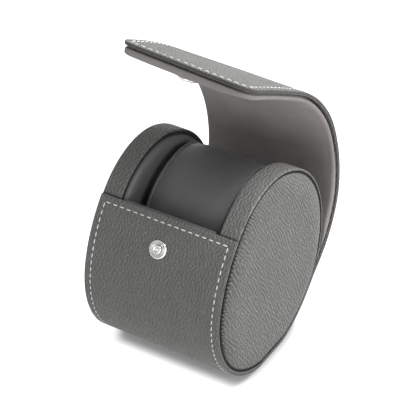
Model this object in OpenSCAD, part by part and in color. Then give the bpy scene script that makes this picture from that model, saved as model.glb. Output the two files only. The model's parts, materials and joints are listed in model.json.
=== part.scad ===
// Travel case for one watch: a short leather drum with padded ends, a wrap that
// closes over it as a flap with a snap, and a loose cushion that the watch is
// strapped round. X runs along the drum, the snap is at the front (-Y), +Z is up,
// and the origin is the middle of the flat base. Millimetres.

/* [Drum] */
// Width of the case from one end's edge to the other's
case_w = 75; // [68:0.5:90]
// Radius of the arc under the drum
bottom_r = 49.3; // [47:0.1:51]
// Height of the bottom arc's centre over the drum's centre
bottom_rise = -3.4; // [-4.5:0.1:-2.5]
// Radius of the arc over the top
top_r = 39.8; // [37:0.1:42]
// Height of the top arc's centre over the drum's centre
top_rise = 13; // [11:0.1:15]
// Depth of the top arc's centre behind the drum's centre
top_shift = -1; // [-2:0.1:0]
// Radius of the flatter arc that joins top and bottom at the front
front_r = 70.3; // [64:0.1:78]
// Radius of the arc that joins them at the back
back_r = 56.3; // [54:0.1:60]
// Depth of the flat that the case stands on, cut off the bottom arc
base_cut = 1.2; // [0.6:0.1:2]

/* [Ends] */
// Width of the leather band round each end
end_w = 10.3; // [9:0.1:13]
// Thickness of the band's leather
band_t = 1.1; // [0.8:0.1:1.6]
// Thickness of the board hoop under each band
hoop_t = 1.5; // [1.2:0.1:2]
// Width of the groove between the rim and the domed disc
groove_w = 0.7; // [0.4:0.1:1.2]
// Depth of the groove, from the rim's edge down to the hoop
groove_h = 1; // [0.6:0.1:1.6]
// Height of the disc's dome over the rim's edge
dome_rise = 2.35; // [1.5:0.05:3.5]
// Width of the dome's curved shoulder
dome_run = 12; // [8:0.5:20]
// Thickness of the disc's leather
disc_t = 1.1; // [0.8:0.1:1.4]
// Thickness of the board behind each disc
disc_board_t = 2; // [1.5:0.1:3]
// How far the padded cheek lining bulges inwards past the band
cheek_bulge = 2.5; // [1.5:0.1:3.5]
// Width of the cheek lining's curved shoulder
cheek_run = 5; // [3:0.5:8]

/* [Tub] */
// Thickness of the board tub between the ends
shell_t = 2.5; // [2.2:0.1:3]
// Thickness of the tub's lining
lining_t = 0.8; // [0.5:0.1:1.2]
// Direction, seen from the drum's centre, of the tub's front lip
lip_angle = 129.2; // [124:0.2:134]
// Height of the cradle's seat over the drum's centre
cradle_top = 2; // [-2:0.5:6]

/* [Wrap and flap] */
// Thickness of the wrap's leather
leather_t = 1; // [0.8:0.1:1.4]
// Direction, seen from the drum's centre, where the wrap leaves the drum
root_angle = -38; // [-41:0.5:-35]
// Angle between the wrap and the drum's surface where it leaves
root_lift_angle = 11.5; // [9:0.5:14]
// Length of the wrap from the drum to its first fold
tail_len = 10; // [8:0.5:12]
// Length of the first panel of the flap
panel_1_len = 38; // [34:0.5:42]
// Length of the second panel
panel_2_len = 48; // [44:0.5:52]
// Length of the third panel
panel_3_len = 48; // [44:0.5:52]
// Length of the fourth panel
panel_4_len = 27; // [24:0.5:30]
// Length of the last panel, which carries the snap's socket
panel_5_len = 25; // [23:0.5:28]
// Angle that the first panel curves through
panel_1_angle = 40.5; // [36:0.5:44]
// Angle that the second panel curves through
panel_2_angle = 34; // [30:0.5:38]
// Angle that the third panel curves through
panel_3_angle = 29.5; // [26:0.5:34]
// Angle that the fourth panel curves through
panel_4_angle = 1.5; // [1:0.5:6]
// Angle that the last panel curves through
panel_5_angle = 2.3; // [1:0.1:6]
// Angle that the first fold closes by
fold_1_angle = 18; // [12:0.5:24]
// Angle that the second fold closes by
fold_2_angle = 4; // [2:0.5:12]
// Angle that the third fold closes by
fold_3_angle = 16; // [12:0.5:24]
// Angle that the fourth fold closes by
fold_4_angle = 30; // [24:0.5:34]
// Angle that the fifth fold closes by
fold_5_angle = 18.5; // [10:0.5:24]
// Gap that each fold leaves between the pieces on its two sides
fold_gap = 0.25; // [0.2:0.05:0.4]
// Thickness of the stiffening boards
board_t = 1; // [0.8:0.1:1.4]
// Thickness of the padded suede lining
pad_t = 2.3; // [1.8:0.1:3]
// Distance from the leather's edge to the boards
board_inset = 3; // [2:0.1:4]
// Distance from the leather's edge to the padded lining
pad_inset = 0.8; // [0.5:0.1:1.5]
// Distance from the first fold to where boards and lining begin
pad_start = 12; // [12:0.5:16]
// Radius of the flap's two corners
corner_r = 8; // [5:0.5:10]

/* [Snap] */
// Direction, seen from the drum's centre, of the stud
snap_angle = 147.5; // [145:0.5:150]
// Distance from the flap's edge to the socket's centre
snap_to_tip = 11; // [10.5:0.5:13]
// Radius of the stud's flange
stud_r = 4.6; // [4:0.1:5.2]
// Height of the stud's flange
stud_flange_h = 0.5; // [0.4:0.05:0.6]
// Radius of the stud's button
button_r = 2.4; // [2:0.1:2.6]
// Height of the stud's button over its flange
button_h = 1.2; // [0.8:0.1:1.3]
// Radius of the stud's shank
shank_r = 1.5; // [1.2:0.1:1.8]
// Radius of the socket
socket_r = 4.8; // [4.4:0.1:5.2]
// Radius of the socket's hollow
hollow_r = 3.4; // [3.2:0.1:3.8]
// How far the socket stands out of the lining
socket_h = 1.4; // [1.3:0.1:1.5]
// Radius of the socket's barrel
barrel_r = 2.2; // [1.8:0.1:2.6]
// Thickness of the washers behind stud and socket
washer_t = 0.7; // [0.5:0.1:0.8]
// Radius of those washers
washer_r = 3.8; // [3.2:0.1:4.2]
// Clearance round shanks and barrels
shank_gap = 0.1; // [0.05:0.05:0.2]

/* [Cushion] */
// Depth of the cushion's centre behind the drum's centre
cushion_shift = 3.5; // [2:0.5:5]
// Height of the cushion's centre over the drum's centre
cushion_rise = 19; // [18:0.5:20]
// Half of the cushion's long width
cushion_a = 32; // [30:0.5:33]
// Half of the cushion's short width
cushion_b = 26; // [24:0.5:27]
// Tilt of the cushion's face towards the front
cushion_tilt = 26; // [20:1:32]
// Clearance at each end of the cushion
cushion_gap = 0.7; // [0.4:0.1:1.5]
// Clearance between the cushion and its cradle
seat_gap = 0.4; // [0.3:0.1:0.8]
// Thickness of the cushion's cover
cover_t = 1.2; // [0.8:0.1:1.6]
// How far each of its end panels bulges
end_bulge = 4; // [2.5:0.5:5]
// Width of the end panel's curved shoulder
end_run = 5; // [3:0.5:7]

/* [Hidden] */
$fn = 48;

// Angle between neighbouring points of the drum's outline
outline_step = 5;
// The same for the outlines that domes are blended from
dome_step = 8;
// Points along one side of a flap panel
panel_steps = 8;
// Angle between the sections of a dome's shoulder
shoulder_step = 18;
// Thickness of one section
section_t = 0.02;
// Angle between neighbouring points of the cushion's oval
oval_step = 7.5;
// Reach of the shapes that trim a ring or a panel, past any outline
far = 90;
// Reach of the shapes that cut a hole through the layers
through = 18;
// Reach of a fold's wedge past the lining's face
wedge_over = 2;

half_w = case_w / 2;
band_x = half_w - end_w;
wrap_out = band_t + leather_t;
base_drop = bottom_r - bottom_rise - base_cut;
drum_z = base_drop + wrap_out;
shell_in = band_t - shell_t;
lining_in = shell_in - lining_t;
hoop_x = band_x + disc_t;
hoop_end_x = half_w - groove_h;
cheek_x = band_x - cheek_bulge;
core_k = -hoop_t;
// Depth of the cheek's shoulder where it meets the tub's lining, as a share of its run
lining_meet = max(0, core_k - lining_in) / cheek_run;
lining_x = band_x - cheek_bulge * sqrt(1 - pow(1 - lining_meet, 2)) - shank_gap;

bottom_c = [0, bottom_rise];
top_c = [top_shift, top_rise];

panel_len = [panel_1_len, panel_2_len, panel_3_len, panel_4_len, panel_5_len];
panel_turn = [panel_1_angle, panel_2_angle, panel_3_angle, panel_4_angle, panel_5_angle];
fold_bend = [fold_1_angle, fold_2_angle, fold_3_angle, fold_4_angle, fold_5_angle];
last = len(panel_len) - 1;

// Depths inside the flap, from the middle of its leather
leather_in = leather_t / 2;
board_in = leather_in + board_t;
pad_in = board_in + pad_t;

leather_grey = "#6b6b6b";
disc_grey = "#868686";
lining_taupe = "#75706e";
smooth_grey = "#3c3c3e";
board_brown = "#a08a6a";
foam_cream = "#d8d2c0";
snap_silver = "#c9c9cc";

// ---------- Plane geometry, in the drum's side view (Y across, Z up)

function unit(a) = [cos(a), sin(a)];
function left_of(a) = [-sin(a), cos(a)];
// Angle of a vector, from -90 up to 270, as the outline runs from the bottom round the back
function angle_of(v) = (atan2(v[1], v[0]) + 450) % 360 - 90;
function arc(c, r, a0, a1, step) =
    let (n = max(1, ceil(abs(a1 - a0) / step)))
    [for (i = [0:n]) c + r * unit(a0 + (a1 - a0) * i / n)];

// Centre of a side arc that touches the bottom and top arcs from inside.
// side is 1 for the front arc, whose centre lies behind, and -1 for the back arc.
function side_centre(r, side) =
    let (
        a = r - bottom_r,
        b = r - top_r,
        span = norm(top_c - bottom_c),
        u = (top_c - bottom_c) / span,
        along = (a * a - b * b + span * span) / (2 * span),
        across = sqrt(a * a - along * along)
    )
    bottom_c + along * u + side * across * [u[1], -u[0]];

front_c = side_centre(front_r, 1);
back_c = side_centre(back_r, -1);
turn_back_low = angle_of(bottom_c - back_c);
turn_back_high = angle_of(top_c - back_c);
turn_front_high = angle_of(top_c - front_c);
turn_front_low = angle_of(bottom_c - front_c);

// The drum's outline, k outside the hoops' surface: four arcs and the flat base
function outline(k, step) =
    let (base_half = acos((base_drop + k + bottom_rise) / (bottom_r + k)))
    concat(
        arc(bottom_c, bottom_r + k, base_half - 90, turn_back_low, step),
        arc(back_c, back_r + k, turn_back_low, turn_back_high, step),
        arc(top_c, top_r + k, turn_back_high, turn_front_high, step),
        arc(front_c, front_r + k, turn_front_high, turn_front_low, step),
        arc(bottom_c, bottom_r + k, turn_front_low, 270 - base_half, step)
    );

// The arc of that outline that lies in direction a from the drum's centre
function arc_towards(a, k) =
    a < angle_of(back_c + (back_r + k) * unit(turn_back_low)) ? [bottom_c, bottom_r + k]
    : a < angle_of(back_c + (back_r + k) * unit(turn_back_high)) ? [back_c, back_r + k]
    : a < angle_of(front_c + (front_r + k) * unit(turn_front_high)) ? [top_c, top_r + k]
    : a < angle_of(front_c + (front_r + k) * unit(turn_front_low)) ? [front_c, front_r + k]
    : [bottom_c, bottom_r + k];

// The outline's point in direction a, and the direction of its outward normal
function on_outline(a, k) =
    let (
        part = arc_towards(a, k),
        c = part[0],
        along = c * unit(a),
        point = (along + sqrt(part[1] * part[1] - c * c + along * along)) * unit(a)
    )
    [point, angle_of(point - c)];

// The cushion's oval, k outside its cover
function oval(k) =
    [for (a = [0:oval_step:360 - oval_step]) [
        cushion_shift + (cushion_a + k) * cos(a) * cos(cushion_tilt)
            - (cushion_b + k) * sin(a) * sin(cushion_tilt),
        cushion_rise + (cushion_a + k) * cos(a) * sin(cushion_tilt)
            + (cushion_b + k) * sin(a) * cos(cushion_tilt)
    ]];

// A state is a point and the slope of the line that passes it. This one goes
// len further along that line, which curves by turn degrees on the way.
function ahead(state, len, turn) =
    let (r = len / (turn * PI / 180))
    [state[0] + r * (left_of(state[1]) - left_of(state[1] + turn)), state[1] + turn];

root = on_outline(root_angle, band_t + leather_t / 2);
root_slope = root[1] + 90 - root_lift_angle;
first_fold = [root[0] + tail_len * unit(root_slope), root_slope];
function fold(i) = i == 0 ? first_fold : ahead(fold(i - 1), panel_len[i - 1], panel_turn[i - 1]);
function on_panel(i, s) = ahead(fold(i), panel_len[i] * s, panel_turn[i] * s);
// Points along a panel at one depth
function panel_line(i, depth) =
    [for (j = [0:panel_steps])
        let (p = j == 0 ? fold(i) : on_panel(i, j / panel_steps))
        p[0] + depth * left_of(p[1])];
function backwards(list) = [for (i = [len(list) - 1:-1:0]) list[i]];

// ---------- Frames

// Extrudes a side view from x0 to x1, at the drum's height
module across(x0, x1) {
    translate([x0, 0, drum_z])
        rotate([90, 0, 90])
            linear_extrude(x1 - x0)
                children();
}

// Puts a part that stands on its z axis at a point of the side view
module stand(point, slope) {
    translate([0, point[0], drum_z + point[1]])
        rotate([slope, 0, 0])
            children();
}

module ring(k0, k1) {
    difference() {
        polygon(outline(k1, outline_step));
        polygon(outline(k0, outline_step));
    }
}

// The part of a side view from the lip round the bottom to the wrap's root
module below_opening() {
    intersection() {
        children();
        polygon(concat([[0, 0]], arc([0, 0], far, lip_angle, 360 + root_angle, outline_step)));
    }
}

// Dome over an outline: sections that draw in by run while they rise by rise
module drum_dome(x0, k, run, rise) {
    hull()
        for (a = [0:shoulder_step:90])
            across(x0 + rise * sin(a), x0 + rise * sin(a) + section_t)
                polygon(outline(k - run * (1 - cos(a)), dome_step));
}

module oval_dome(x0, k, run, rise) {
    hull()
        for (a = [0:shoulder_step:90])
            across(x0 + rise * sin(a), x0 + rise * sin(a) + section_t)
                polygon(oval(k - run * (1 - cos(a))));
}

// ---------- Drum

module wrap_leather() {
    color(leather_grey)
        difference() {
            union() {
                across(-half_w, half_w)
                    below_opening()
                        ring(band_t, wrap_out);
                across(-half_w, half_w)
                    polygon([
                        root[0] - leather_in * left_of(root_slope),
                        first_fold[0] - leather_in * left_of(root_slope),
                        first_fold[0] + leather_in * left_of(root_slope),
                        root[0] + leather_in * left_of(root_slope)
                    ]);
                across(-half_w, half_w)
                    translate(root[0])
                        circle(leather_in);
            }
            fold_hollow(0);
            stud_hole(shank_r + shank_gap);
        }
}

module tub_shell() {
    color(board_brown)
        difference() {
            across(-band_x, band_x)
                below_opening()
                    ring(shell_in, band_t);
            stud_hole(shank_r + shank_gap);
            stand(stud_seat[0], stud_seat[1] - 90)
                translate([0, 0, -leather_t - shell_t - shell_t])
                    cylinder(r = washer_r + shank_gap, h = shell_t + washer_t + shank_gap * 2);
        }
}

module tub_lining() {
    color(smooth_grey)
        across(-lining_x, lining_x)
            below_opening()
                ring(lining_in, shell_in);
}

module cradle_pad() {
    color(smooth_grey)
        across(seat_gap - cheek_x, cheek_x - seat_gap)
            difference() {
                intersection() {
                    polygon(outline(lining_in, outline_step));
                    translate([-far, cradle_top - far])
                        square([2 * far, far]);
                }
                polygon(oval(seat_gap));
            }
}

module end_band() {
    color(leather_grey)
        union() {
            across(band_x, half_w)
                ring(0, band_t);
            across(band_x, hoop_x)
                ring(-hoop_t, 0);
        }
}

module end_hoop() {
    color(board_brown)
        across(hoop_x, hoop_end_x)
            ring(-hoop_t, 0);
}

module end_core() {
    color(foam_cream)
        across(hoop_x, hoop_end_x - disc_board_t)
            polygon(outline(core_k, outline_step));
}

module end_board() {
    color(board_brown)
        across(hoop_end_x - disc_board_t, hoop_end_x)
            polygon(outline(core_k, outline_step));
}

module end_foam() {
    color(foam_cream)
        drum_dome(
            hoop_end_x, -groove_w - disc_t, dome_run,
            groove_h + dome_rise - disc_t - section_t
        );
}

module end_disc() {
    color(disc_grey)
        difference() {
            drum_dome(hoop_end_x, -groove_w, dome_run, groove_h + dome_rise - section_t);
            drum_dome(
                hoop_end_x, -groove_w - disc_t, dome_run,
                groove_h + dome_rise - disc_t - section_t
            );
        }
}

module cheek_lining() {
    color(smooth_grey)
        union() {
            across(band_x, hoop_x)
                polygon(outline(core_k, outline_step));
            drum_dome(band_x - section_t, core_k, cheek_run, section_t - cheek_bulge);
        }
}

// ---------- Snap

stud_seat = on_outline(snap_angle, wrap_out);
socket_seat = on_panel(last, 1 - snap_to_tip / panel_len[last]);

module stud_hole(r) {
    stand(stud_seat[0], stud_seat[1] - 90)
        translate([0, 0, -leather_t - shell_t - through / 2])
            cylinder(r = r, h = through);
}

module snap_stud() {
    shank_end = -leather_t - shell_t + shank_gap;
    ridge = stud_flange_h / 4;
    color(snap_silver)
        stand(stud_seat[0], stud_seat[1] - 90)
            rotate_extrude()
                polygon([
                    [0, shank_end], [shank_r, shank_end], [shank_r, 0],
                    [stud_r, 0], [stud_r, stud_flange_h - ridge], [stud_r - ridge * 2, stud_flange_h],
                    [stud_r - ridge * 4, stud_flange_h], [stud_r - ridge * 5, stud_flange_h - ridge],
                    [button_r + ridge * 2, stud_flange_h - ridge],
                    [button_r, stud_flange_h], [button_r * 0.92, stud_flange_h + button_h * 0.45],
                    [button_r * 0.7, stud_flange_h + button_h * 0.85],
                    [button_r * 0.45, stud_flange_h + button_h], [0, stud_flange_h + button_h]
                ]);
}

module snap_stud_washer() {
    color(snap_silver)
        stand(stud_seat[0], stud_seat[1] - 90)
            translate([0, 0, shank_gap - leather_t - shell_t])
                difference() {
                    cylinder(r = washer_r, h = washer_t);
                    translate([0, 0, -washer_t])
                        cylinder(r = shank_r + shank_gap, h = 3 * washer_t);
                }
}

module snap_socket() {
    lip = socket_h / 5;
    color(snap_silver)
        stand(socket_seat[0], socket_seat[1])
            rotate_extrude()
                polygon([
                    [0, leather_in + shank_gap], [barrel_r, leather_in + shank_gap],
                    [barrel_r, pad_in], [socket_r, pad_in], [socket_r, pad_in + socket_h - lip],
                    [socket_r - lip, pad_in + socket_h], [hollow_r, pad_in + socket_h],
                    [hollow_r, pad_in + lip], [0, pad_in + lip]
                ]);
}

module snap_socket_washer() {
    color(snap_silver)
        stand(socket_seat[0], socket_seat[1])
            translate([0, 0, leather_in + shank_gap])
                difference() {
                    cylinder(r = washer_r, h = washer_t);
                    translate([0, 0, -washer_t])
                        cylinder(r = barrel_r + shank_gap, h = 3 * washer_t);
                }
}

module socket_hole(r) {
    stand(socket_seat[0], socket_seat[1])
        translate([0, 0, leather_in - board_t])
            cylinder(r = r, h = through);
}

// The flat that the socket presses into the curved lining
module socket_dent() {
    stand(socket_seat[0], socket_seat[1])
        translate([0, 0, pad_in])
            cylinder(r = socket_r + shank_gap, h = socket_h);
}

// ---------- Flap

module fold_hollow(i) {
    across(-case_w, case_w)
        translate(fold(i)[0])
            circle(leather_in + fold_gap);
}

// Wedge that leaves room for a fold's bend on its inner side
module fold_wedge(i) {
    depth = pad_in + wedge_over;
    spread = fold_gap + depth * tan(fold_bend[i] / 2);
    translate(fold(i)[0])
        rotate(fold(i)[1])
            polygon([[-fold_gap, 0], [fold_gap, 0], [spread, depth], [-spread, depth]]);
}

module panel_strip(i, d0, d1) {
    polygon(concat(panel_line(i, d0), backwards(panel_line(i, d1))));
}

// Everything before the place on the first panel where boards and lining begin
module before_start() {
    start = on_panel(0, pad_start / panel_len[0]);
    translate(start[0])
        rotate(start[1])
            translate([-far, -far / 2])
                square(far);
}

// The flap's rounded end, as seen square onto the last panel
module tip_plan(w, inset, r) {
    reach = 2 * panel_len[last];
    stand(fold(last + 1)[0], fold(last + 1)[1])
        linear_extrude(far, center = true)
            union() {
                translate([r - w / 2, -reach])
                    square([w - 2 * r, reach - inset]);
                translate([-w / 2, -reach])
                    square([w, reach - inset - r]);
                for (side = [-1, 1])
                    translate([side * (w / 2 - r), -inset - r])
                        circle(r);
            }
}

module at_tip(i, w, inset, r) {
    if (i == last)
        intersection() {
            children();
            tip_plan(w, inset, r);
        }
    else
        children();
}

module flap_leather(i) {
    color(leather_grey)
        difference() {
            at_tip(i, case_w, 0, corner_r)
                union() {
                    across(-half_w, half_w)
                        panel_strip(i, -leather_in, leather_in);
                    across(-half_w, half_w)
                        translate(fold(i)[0])
                            circle(leather_in);
                }
            if (i < last)
                fold_hollow(i + 1);
        }
}

// A layer inside the flap, trimmed at the folds on its two sides
module flap_layer(i, d0, d1, inset) {
    at_tip(i, case_w - 2 * inset, inset, corner_r - inset)
        across(inset - half_w, half_w - inset)
            difference() {
                panel_strip(i, d0, d1);
                if (i == 0)
                    before_start();
                else
                    fold_wedge(i);
                if (i < last)
                    fold_wedge(i + 1);
            }
}

module flap_board(i) {
    color(board_brown)
        difference() {
            flap_layer(i, leather_in, board_in, board_inset);
            if (i == last)
                socket_hole(washer_r + shank_gap);
        }
}

module flap_pad(i) {
    color(lining_taupe)
        difference() {
            flap_layer(i, board_in, pad_in, pad_inset);
            if (i == last) {
                socket_hole(barrel_r + shank_gap);
                socket_dent();
            }
        }
}

// ---------- Cushion

cushion_x = cheek_x - cushion_gap;
seam_x = cushion_x - end_bulge;

module cushion_cover() {
    color(smooth_grey)
        across(-seam_x, seam_x)
            difference() {
                polygon(oval(0));
                polygon(oval(-cover_t));
            }
}

module cushion_end() {
    color(smooth_grey)
        difference() {
            oval_dome(seam_x, 0, end_run, end_bulge - section_t);
            oval_dome(seam_x, -cover_t, end_run, end_bulge - cover_t - section_t);
        }
}

module cushion_core() {
    color(foam_cream)
        union() {
            across(-seam_x, seam_x)
                polygon(oval(-cover_t));
            for (side = [0, 1])
                mirror([side, 0, 0])
                    oval_dome(seam_x, -cover_t, end_run, end_bulge - cover_t - section_t);
        }
}

// ---------- Parts

module left() {
    mirror([1, 0, 0])
        children();
}

wrap_leather();
tub_shell();
tub_lining();
cradle_pad();
left() end_band();  // end_band_left
end_band();  // end_band_right
left() end_hoop();  // end_hoop_left
end_hoop();  // end_hoop_right
left() end_core();  // end_core_left
end_core();  // end_core_right
left() end_board();  // end_board_left
end_board();  // end_board_right
left() end_foam();  // end_foam_left
end_foam();  // end_foam_right
left() end_disc();  // end_disc_left
end_disc();  // end_disc_right
left() cheek_lining();  // cheek_lining_left
cheek_lining();  // cheek_lining_right
snap_stud();
snap_stud_washer();
snap_socket();
snap_socket_washer();
flap_leather(0);  // flap_leather_1
flap_leather(1);  // flap_leather_2
flap_leather(2);  // flap_leather_3
flap_leather(3);  // flap_leather_4
flap_leather(4);  // flap_leather_5
flap_board(0);  // flap_board_1
flap_board(1);  // flap_board_2
flap_board(2);  // flap_board_3
flap_board(3);  // flap_board_4
flap_board(4);  // flap_board_5
flap_pad(0);  // flap_pad_1
flap_pad(1);  // flap_pad_2
flap_pad(2);  // flap_pad_3
flap_pad(3);  // flap_pad_4
flap_pad(4);  // flap_pad_5
cushion_cover();
left() cushion_end();  // cushion_end_left
cushion_end();  // cushion_end_right
cushion_core();
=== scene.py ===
"""Looks of a leather travel case for one watch: wrap and flap, padded ends, lining, snap and cushion."""
import json
import math

import bmesh
import bpy
import numpy as np
from bpy.props import FloatProperty, FloatVectorProperty, IntProperty, PointerProperty
from bpy.types import Operator, Panel, PropertyGroup
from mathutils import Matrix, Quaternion, Vector, noise


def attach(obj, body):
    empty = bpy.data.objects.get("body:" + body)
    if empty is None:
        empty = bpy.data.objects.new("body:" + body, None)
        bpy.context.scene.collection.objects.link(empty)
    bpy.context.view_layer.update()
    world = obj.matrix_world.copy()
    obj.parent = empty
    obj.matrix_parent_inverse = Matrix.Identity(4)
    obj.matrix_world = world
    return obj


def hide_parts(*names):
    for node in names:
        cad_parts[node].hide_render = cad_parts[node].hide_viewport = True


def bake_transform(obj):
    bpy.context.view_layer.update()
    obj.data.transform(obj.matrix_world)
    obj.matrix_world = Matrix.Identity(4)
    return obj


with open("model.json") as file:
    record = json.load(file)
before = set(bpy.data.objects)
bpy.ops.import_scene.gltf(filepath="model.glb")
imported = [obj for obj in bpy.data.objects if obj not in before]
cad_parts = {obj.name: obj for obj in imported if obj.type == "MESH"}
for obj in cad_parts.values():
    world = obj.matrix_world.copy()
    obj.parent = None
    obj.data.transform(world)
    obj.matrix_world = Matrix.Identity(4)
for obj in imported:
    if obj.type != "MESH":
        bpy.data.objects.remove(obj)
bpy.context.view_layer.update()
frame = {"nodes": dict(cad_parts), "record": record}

bl_info = {
    "name": "Watch travel case",
    "version": (1, 0, 0),
    "blender": (4, 5, 0),
    "location": "3D View > Sidebar > Watch case",
    "description": "Builds the leather, lining, stitching, snap and cushion of a travel case for one watch",
    "category": "Object",
}

SURFACE_MAP = "surface"
# The leather's layer of rubbing and painted light: above 0 lighter for rubbing and painted highlight, below
# 0 darker with painted shade.
WEAR_AND_PAINTED_LIGHT_LAYER = "wear_and_painted_light"


# ---------- Sizes and colours


def length(name, description, millimetres):
    """A size in metres, written here in millimetres."""
    return FloatProperty(
        name=name, description=description, default=millimetres / 1000, unit="LENGTH", precision=5
    )


def turn(name, description, degrees):
    return FloatProperty(
        name=name, description=description, default=math.radians(degrees), subtype="ANGLE"
    )


def grey(level):
    """The linear value of a display value from 0 to 255."""
    v = level / 255
    return v / 12.92 if v <= 0.04045 else ((v + 0.055) / 1.055) ** 2.4


def colour(name, description, red, green, blue):
    """A colour whose default is written in display values from 0 to 255."""
    return FloatVectorProperty(
        name=name,
        description=description,
        default=(grey(red), grey(green), grey(blue)),
        subtype="COLOR",
        size=3,
        min=0,
        max=1,
    )


class DrumSizes(PropertyGroup):
    """The drum's side outline and its two ends."""

    half_width: length("Half width", "From the drum's middle to the edge of an end", 37.5)
    bottom_radius: length("Bottom radius", "Radius of the arc under the drum", 49.3)
    bottom_rise: length("Bottom rise", "Height of that arc's centre over the drum's centre", -3.4)
    top_radius: length("Top radius", "Radius of the arc over the top", 39.8)
    top_rise: length("Top rise", "Height of that arc's centre over the drum's centre", 13)
    top_shift: length("Top shift", "Depth of that arc's centre behind the drum's centre", -1)
    front_radius: length("Front radius", "Radius of the flatter arc at the front", 70.3)
    back_radius: length("Back radius", "Radius of the arc at the back", 56.3)
    base_cut: length("Base cut", "Depth of the flat that the case stands on", 1.2)
    end_width: length("End width", "Width of the leather band round each end", 10.3)
    band_thickness: length("Band thickness", "Thickness of the band's leather", 1.1)
    hoop_thickness: length("Hoop thickness", "Thickness of the board hoop under the band", 1.5)
    groove_width: length("Groove width", "Gap between the rim and the domed disc", 0.95)
    pucker: length("Pucker", "Depth of the gathers where the disc's leather is drawn into the groove", 0.5)
    groove_depth: length("Groove depth", "From the rim's edge down to the hoop", 1)
    dome_rise: length("Dome rise", "Height of the disc over the rim's edge", 2.35)
    dome_run: length("Dome run", "Width of the dome's curved shoulder", 12)
    cheek_bulge: length("Cheek bulge", "How far the padded cheek stands inwards past the band", 2.5)
    cheek_run: length("Cheek run", "Width of the cheek's curved shoulder", 5)
    shell_thickness: length("Shell thickness", "Thickness of the board tub", 2.5)
    lining_thickness: length("Lining thickness", "Thickness of the tub's lining", 0.8)
    lip_angle: turn("Lip angle", "Direction, from the drum's centre, of the tub's front lip", 129.2)
    cradle_top: length("Cradle top", "Height of the cradle's seat over the drum's centre", 2)


class FlapSizes(PropertyGroup):
    """The wrap and the flap that it goes on into."""

    leather_thickness: length("Leather thickness", "Thickness of the wrap's leather", 1)
    root_angle: turn("Root angle", "Direction, from the drum's centre, where the wrap leaves it", -38)
    root_lift: turn("Root lift", "Angle between the wrap and the drum where it leaves", 11.5)
    tail_length: length("Tail length", "Length of the wrap from the drum to its first fold", 10)
    corner_radius: length("Corner radius", "Radius of the flap's two corners", 8)
    hem_thickness: length("Hem thickness", "Thickness of the leather where it is turned in at an edge", 2)
    hem_width: length("Hem width", "Width of that turned-in edge", 1.3)
    hem_gap: length("Hem gap", "Gap between the turned-in edge and the padding", 1.1)
    stitch_channel: length("Stitch channel", "Depth to which the stitches draw the leather in", 0.16)
    lean: length("Lean", "How much further back the left end of the flap's tip lies than the right end", 7.0)
    curl: length("Curl", "How far the flap's left side curls up at the tip", 2.3)
    lining_inset: length("Lining inset", "Distance from the leather's edge to the lining", 0.8)
    lining_start: length("Lining start", "Distance from the first fold to where the padding begins", 12)
    lining_depth: length("Lining depth", "Depth of the padding's face inside the leather's middle", 3.8)
    thin_lining: length("Thin lining", "Thickness of the lining where it isn't padded", 0.6)
    tip_padding: length("Tip padding", "Extra thickness of the padding round the socket", 1.2)


class StitchSizes(PropertyGroup):
    """The white lock stitch along the edges of wrap and flap."""

    inset: length("Inset", "Distance from the leather's edge to the stitches", 3.4)
    pitch: length("Pitch", "Distance from one stitch to the next", 3.6)
    thread_length: length("Stitch length", "Length of thread that shows in one stitch", 2.6)
    stretch: FloatProperty(
        name="Stretch", description="How much longer the stitches are on the flap", default=1.12, min=1
    )
    thread_width: length("Thread width", "Thickness of the thread", 0.62)
    seed: IntProperty(name="Seed", description="Seed of the small unevenness", default=3, min=0)


class SnapSizes(PropertyGroup):
    """The press stud and its socket."""

    angle: turn("Stud angle", "Direction, from the drum's centre, of the stud", 147.5)
    tip_distance: length("Socket distance", "From the flap's edge to the socket's centre", 11)
    stud_radius: length("Stud radius", "Radius of the stud's flange", 4.6)
    socket_radius: length("Socket radius", "Radius of the socket", 4.8)


class CushionSizes(PropertyGroup):
    """The loose oval cushion."""

    shift: length("Shift", "Depth of the cushion's centre behind the drum's centre", 3.5)
    rise: length("Rise", "Height of the cushion's centre over the drum's centre", 19)
    long_half: length("Long half width", "Half of the cushion's long width", 32)
    short_half: length("Short half width", "Half of the cushion's short width", 26)
    tilt: turn("Tilt", "Tilt of the cushion's face towards the front", 26)
    half_length: length("Half length", "From the cushion's middle to the end of an end panel", 23.8)
    seam: length("Seam", "From the cushion's middle to the seam of an end panel", 20)


class Finishes(PropertyGroup):
    """Colours of leather, lining, thread and metal."""

    leather: colour("Leather", "Pebbled leather of wrap, bands and discs", 104, 104, 102)
    smooth: colour("Smooth leather", "Smooth leather inside the drum and on the cushion", 97, 97, 98)
    suede: colour("Suede", "Suede lining of the flap", 152, 147, 146)
    thread: colour("Thread", "Stitching thread", 244, 244, 242)
    metal: colour("Metal", "Press stud and socket", 202, 201, 198)
    board: colour("Board", "Stiffening board inside the case", 150, 132, 104)
    foam: colour("Foam", "Foam inside the ends and the cushion", 216, 210, 192)
    floor: colour("Floor", "Plain floor", 165, 165, 165)


PANELS = ((38, 40.5), (48, 34), (48, 29.5), (27, 1.5), (25, 2.3))  # length in mm and bend in degrees

# how far the soft leather of tail and flap stands outside its boards: distance from the drum and rise, in mm
LEATHER_RISE = (
    (-6, 0), (5, 0.95), (20, 1.4), (45, 1.95), (60, 1.5), (78, 0.95), (100, 1.05), (130, 0.85), (198, 1.1)
)


# ---------- The side view: Y across and Z up


def unit(angle):
    return np.stack([np.cos(angle), np.sin(angle)], -1)


def left_of(angle):
    return np.stack([-np.sin(angle), np.cos(angle)], -1)


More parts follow.
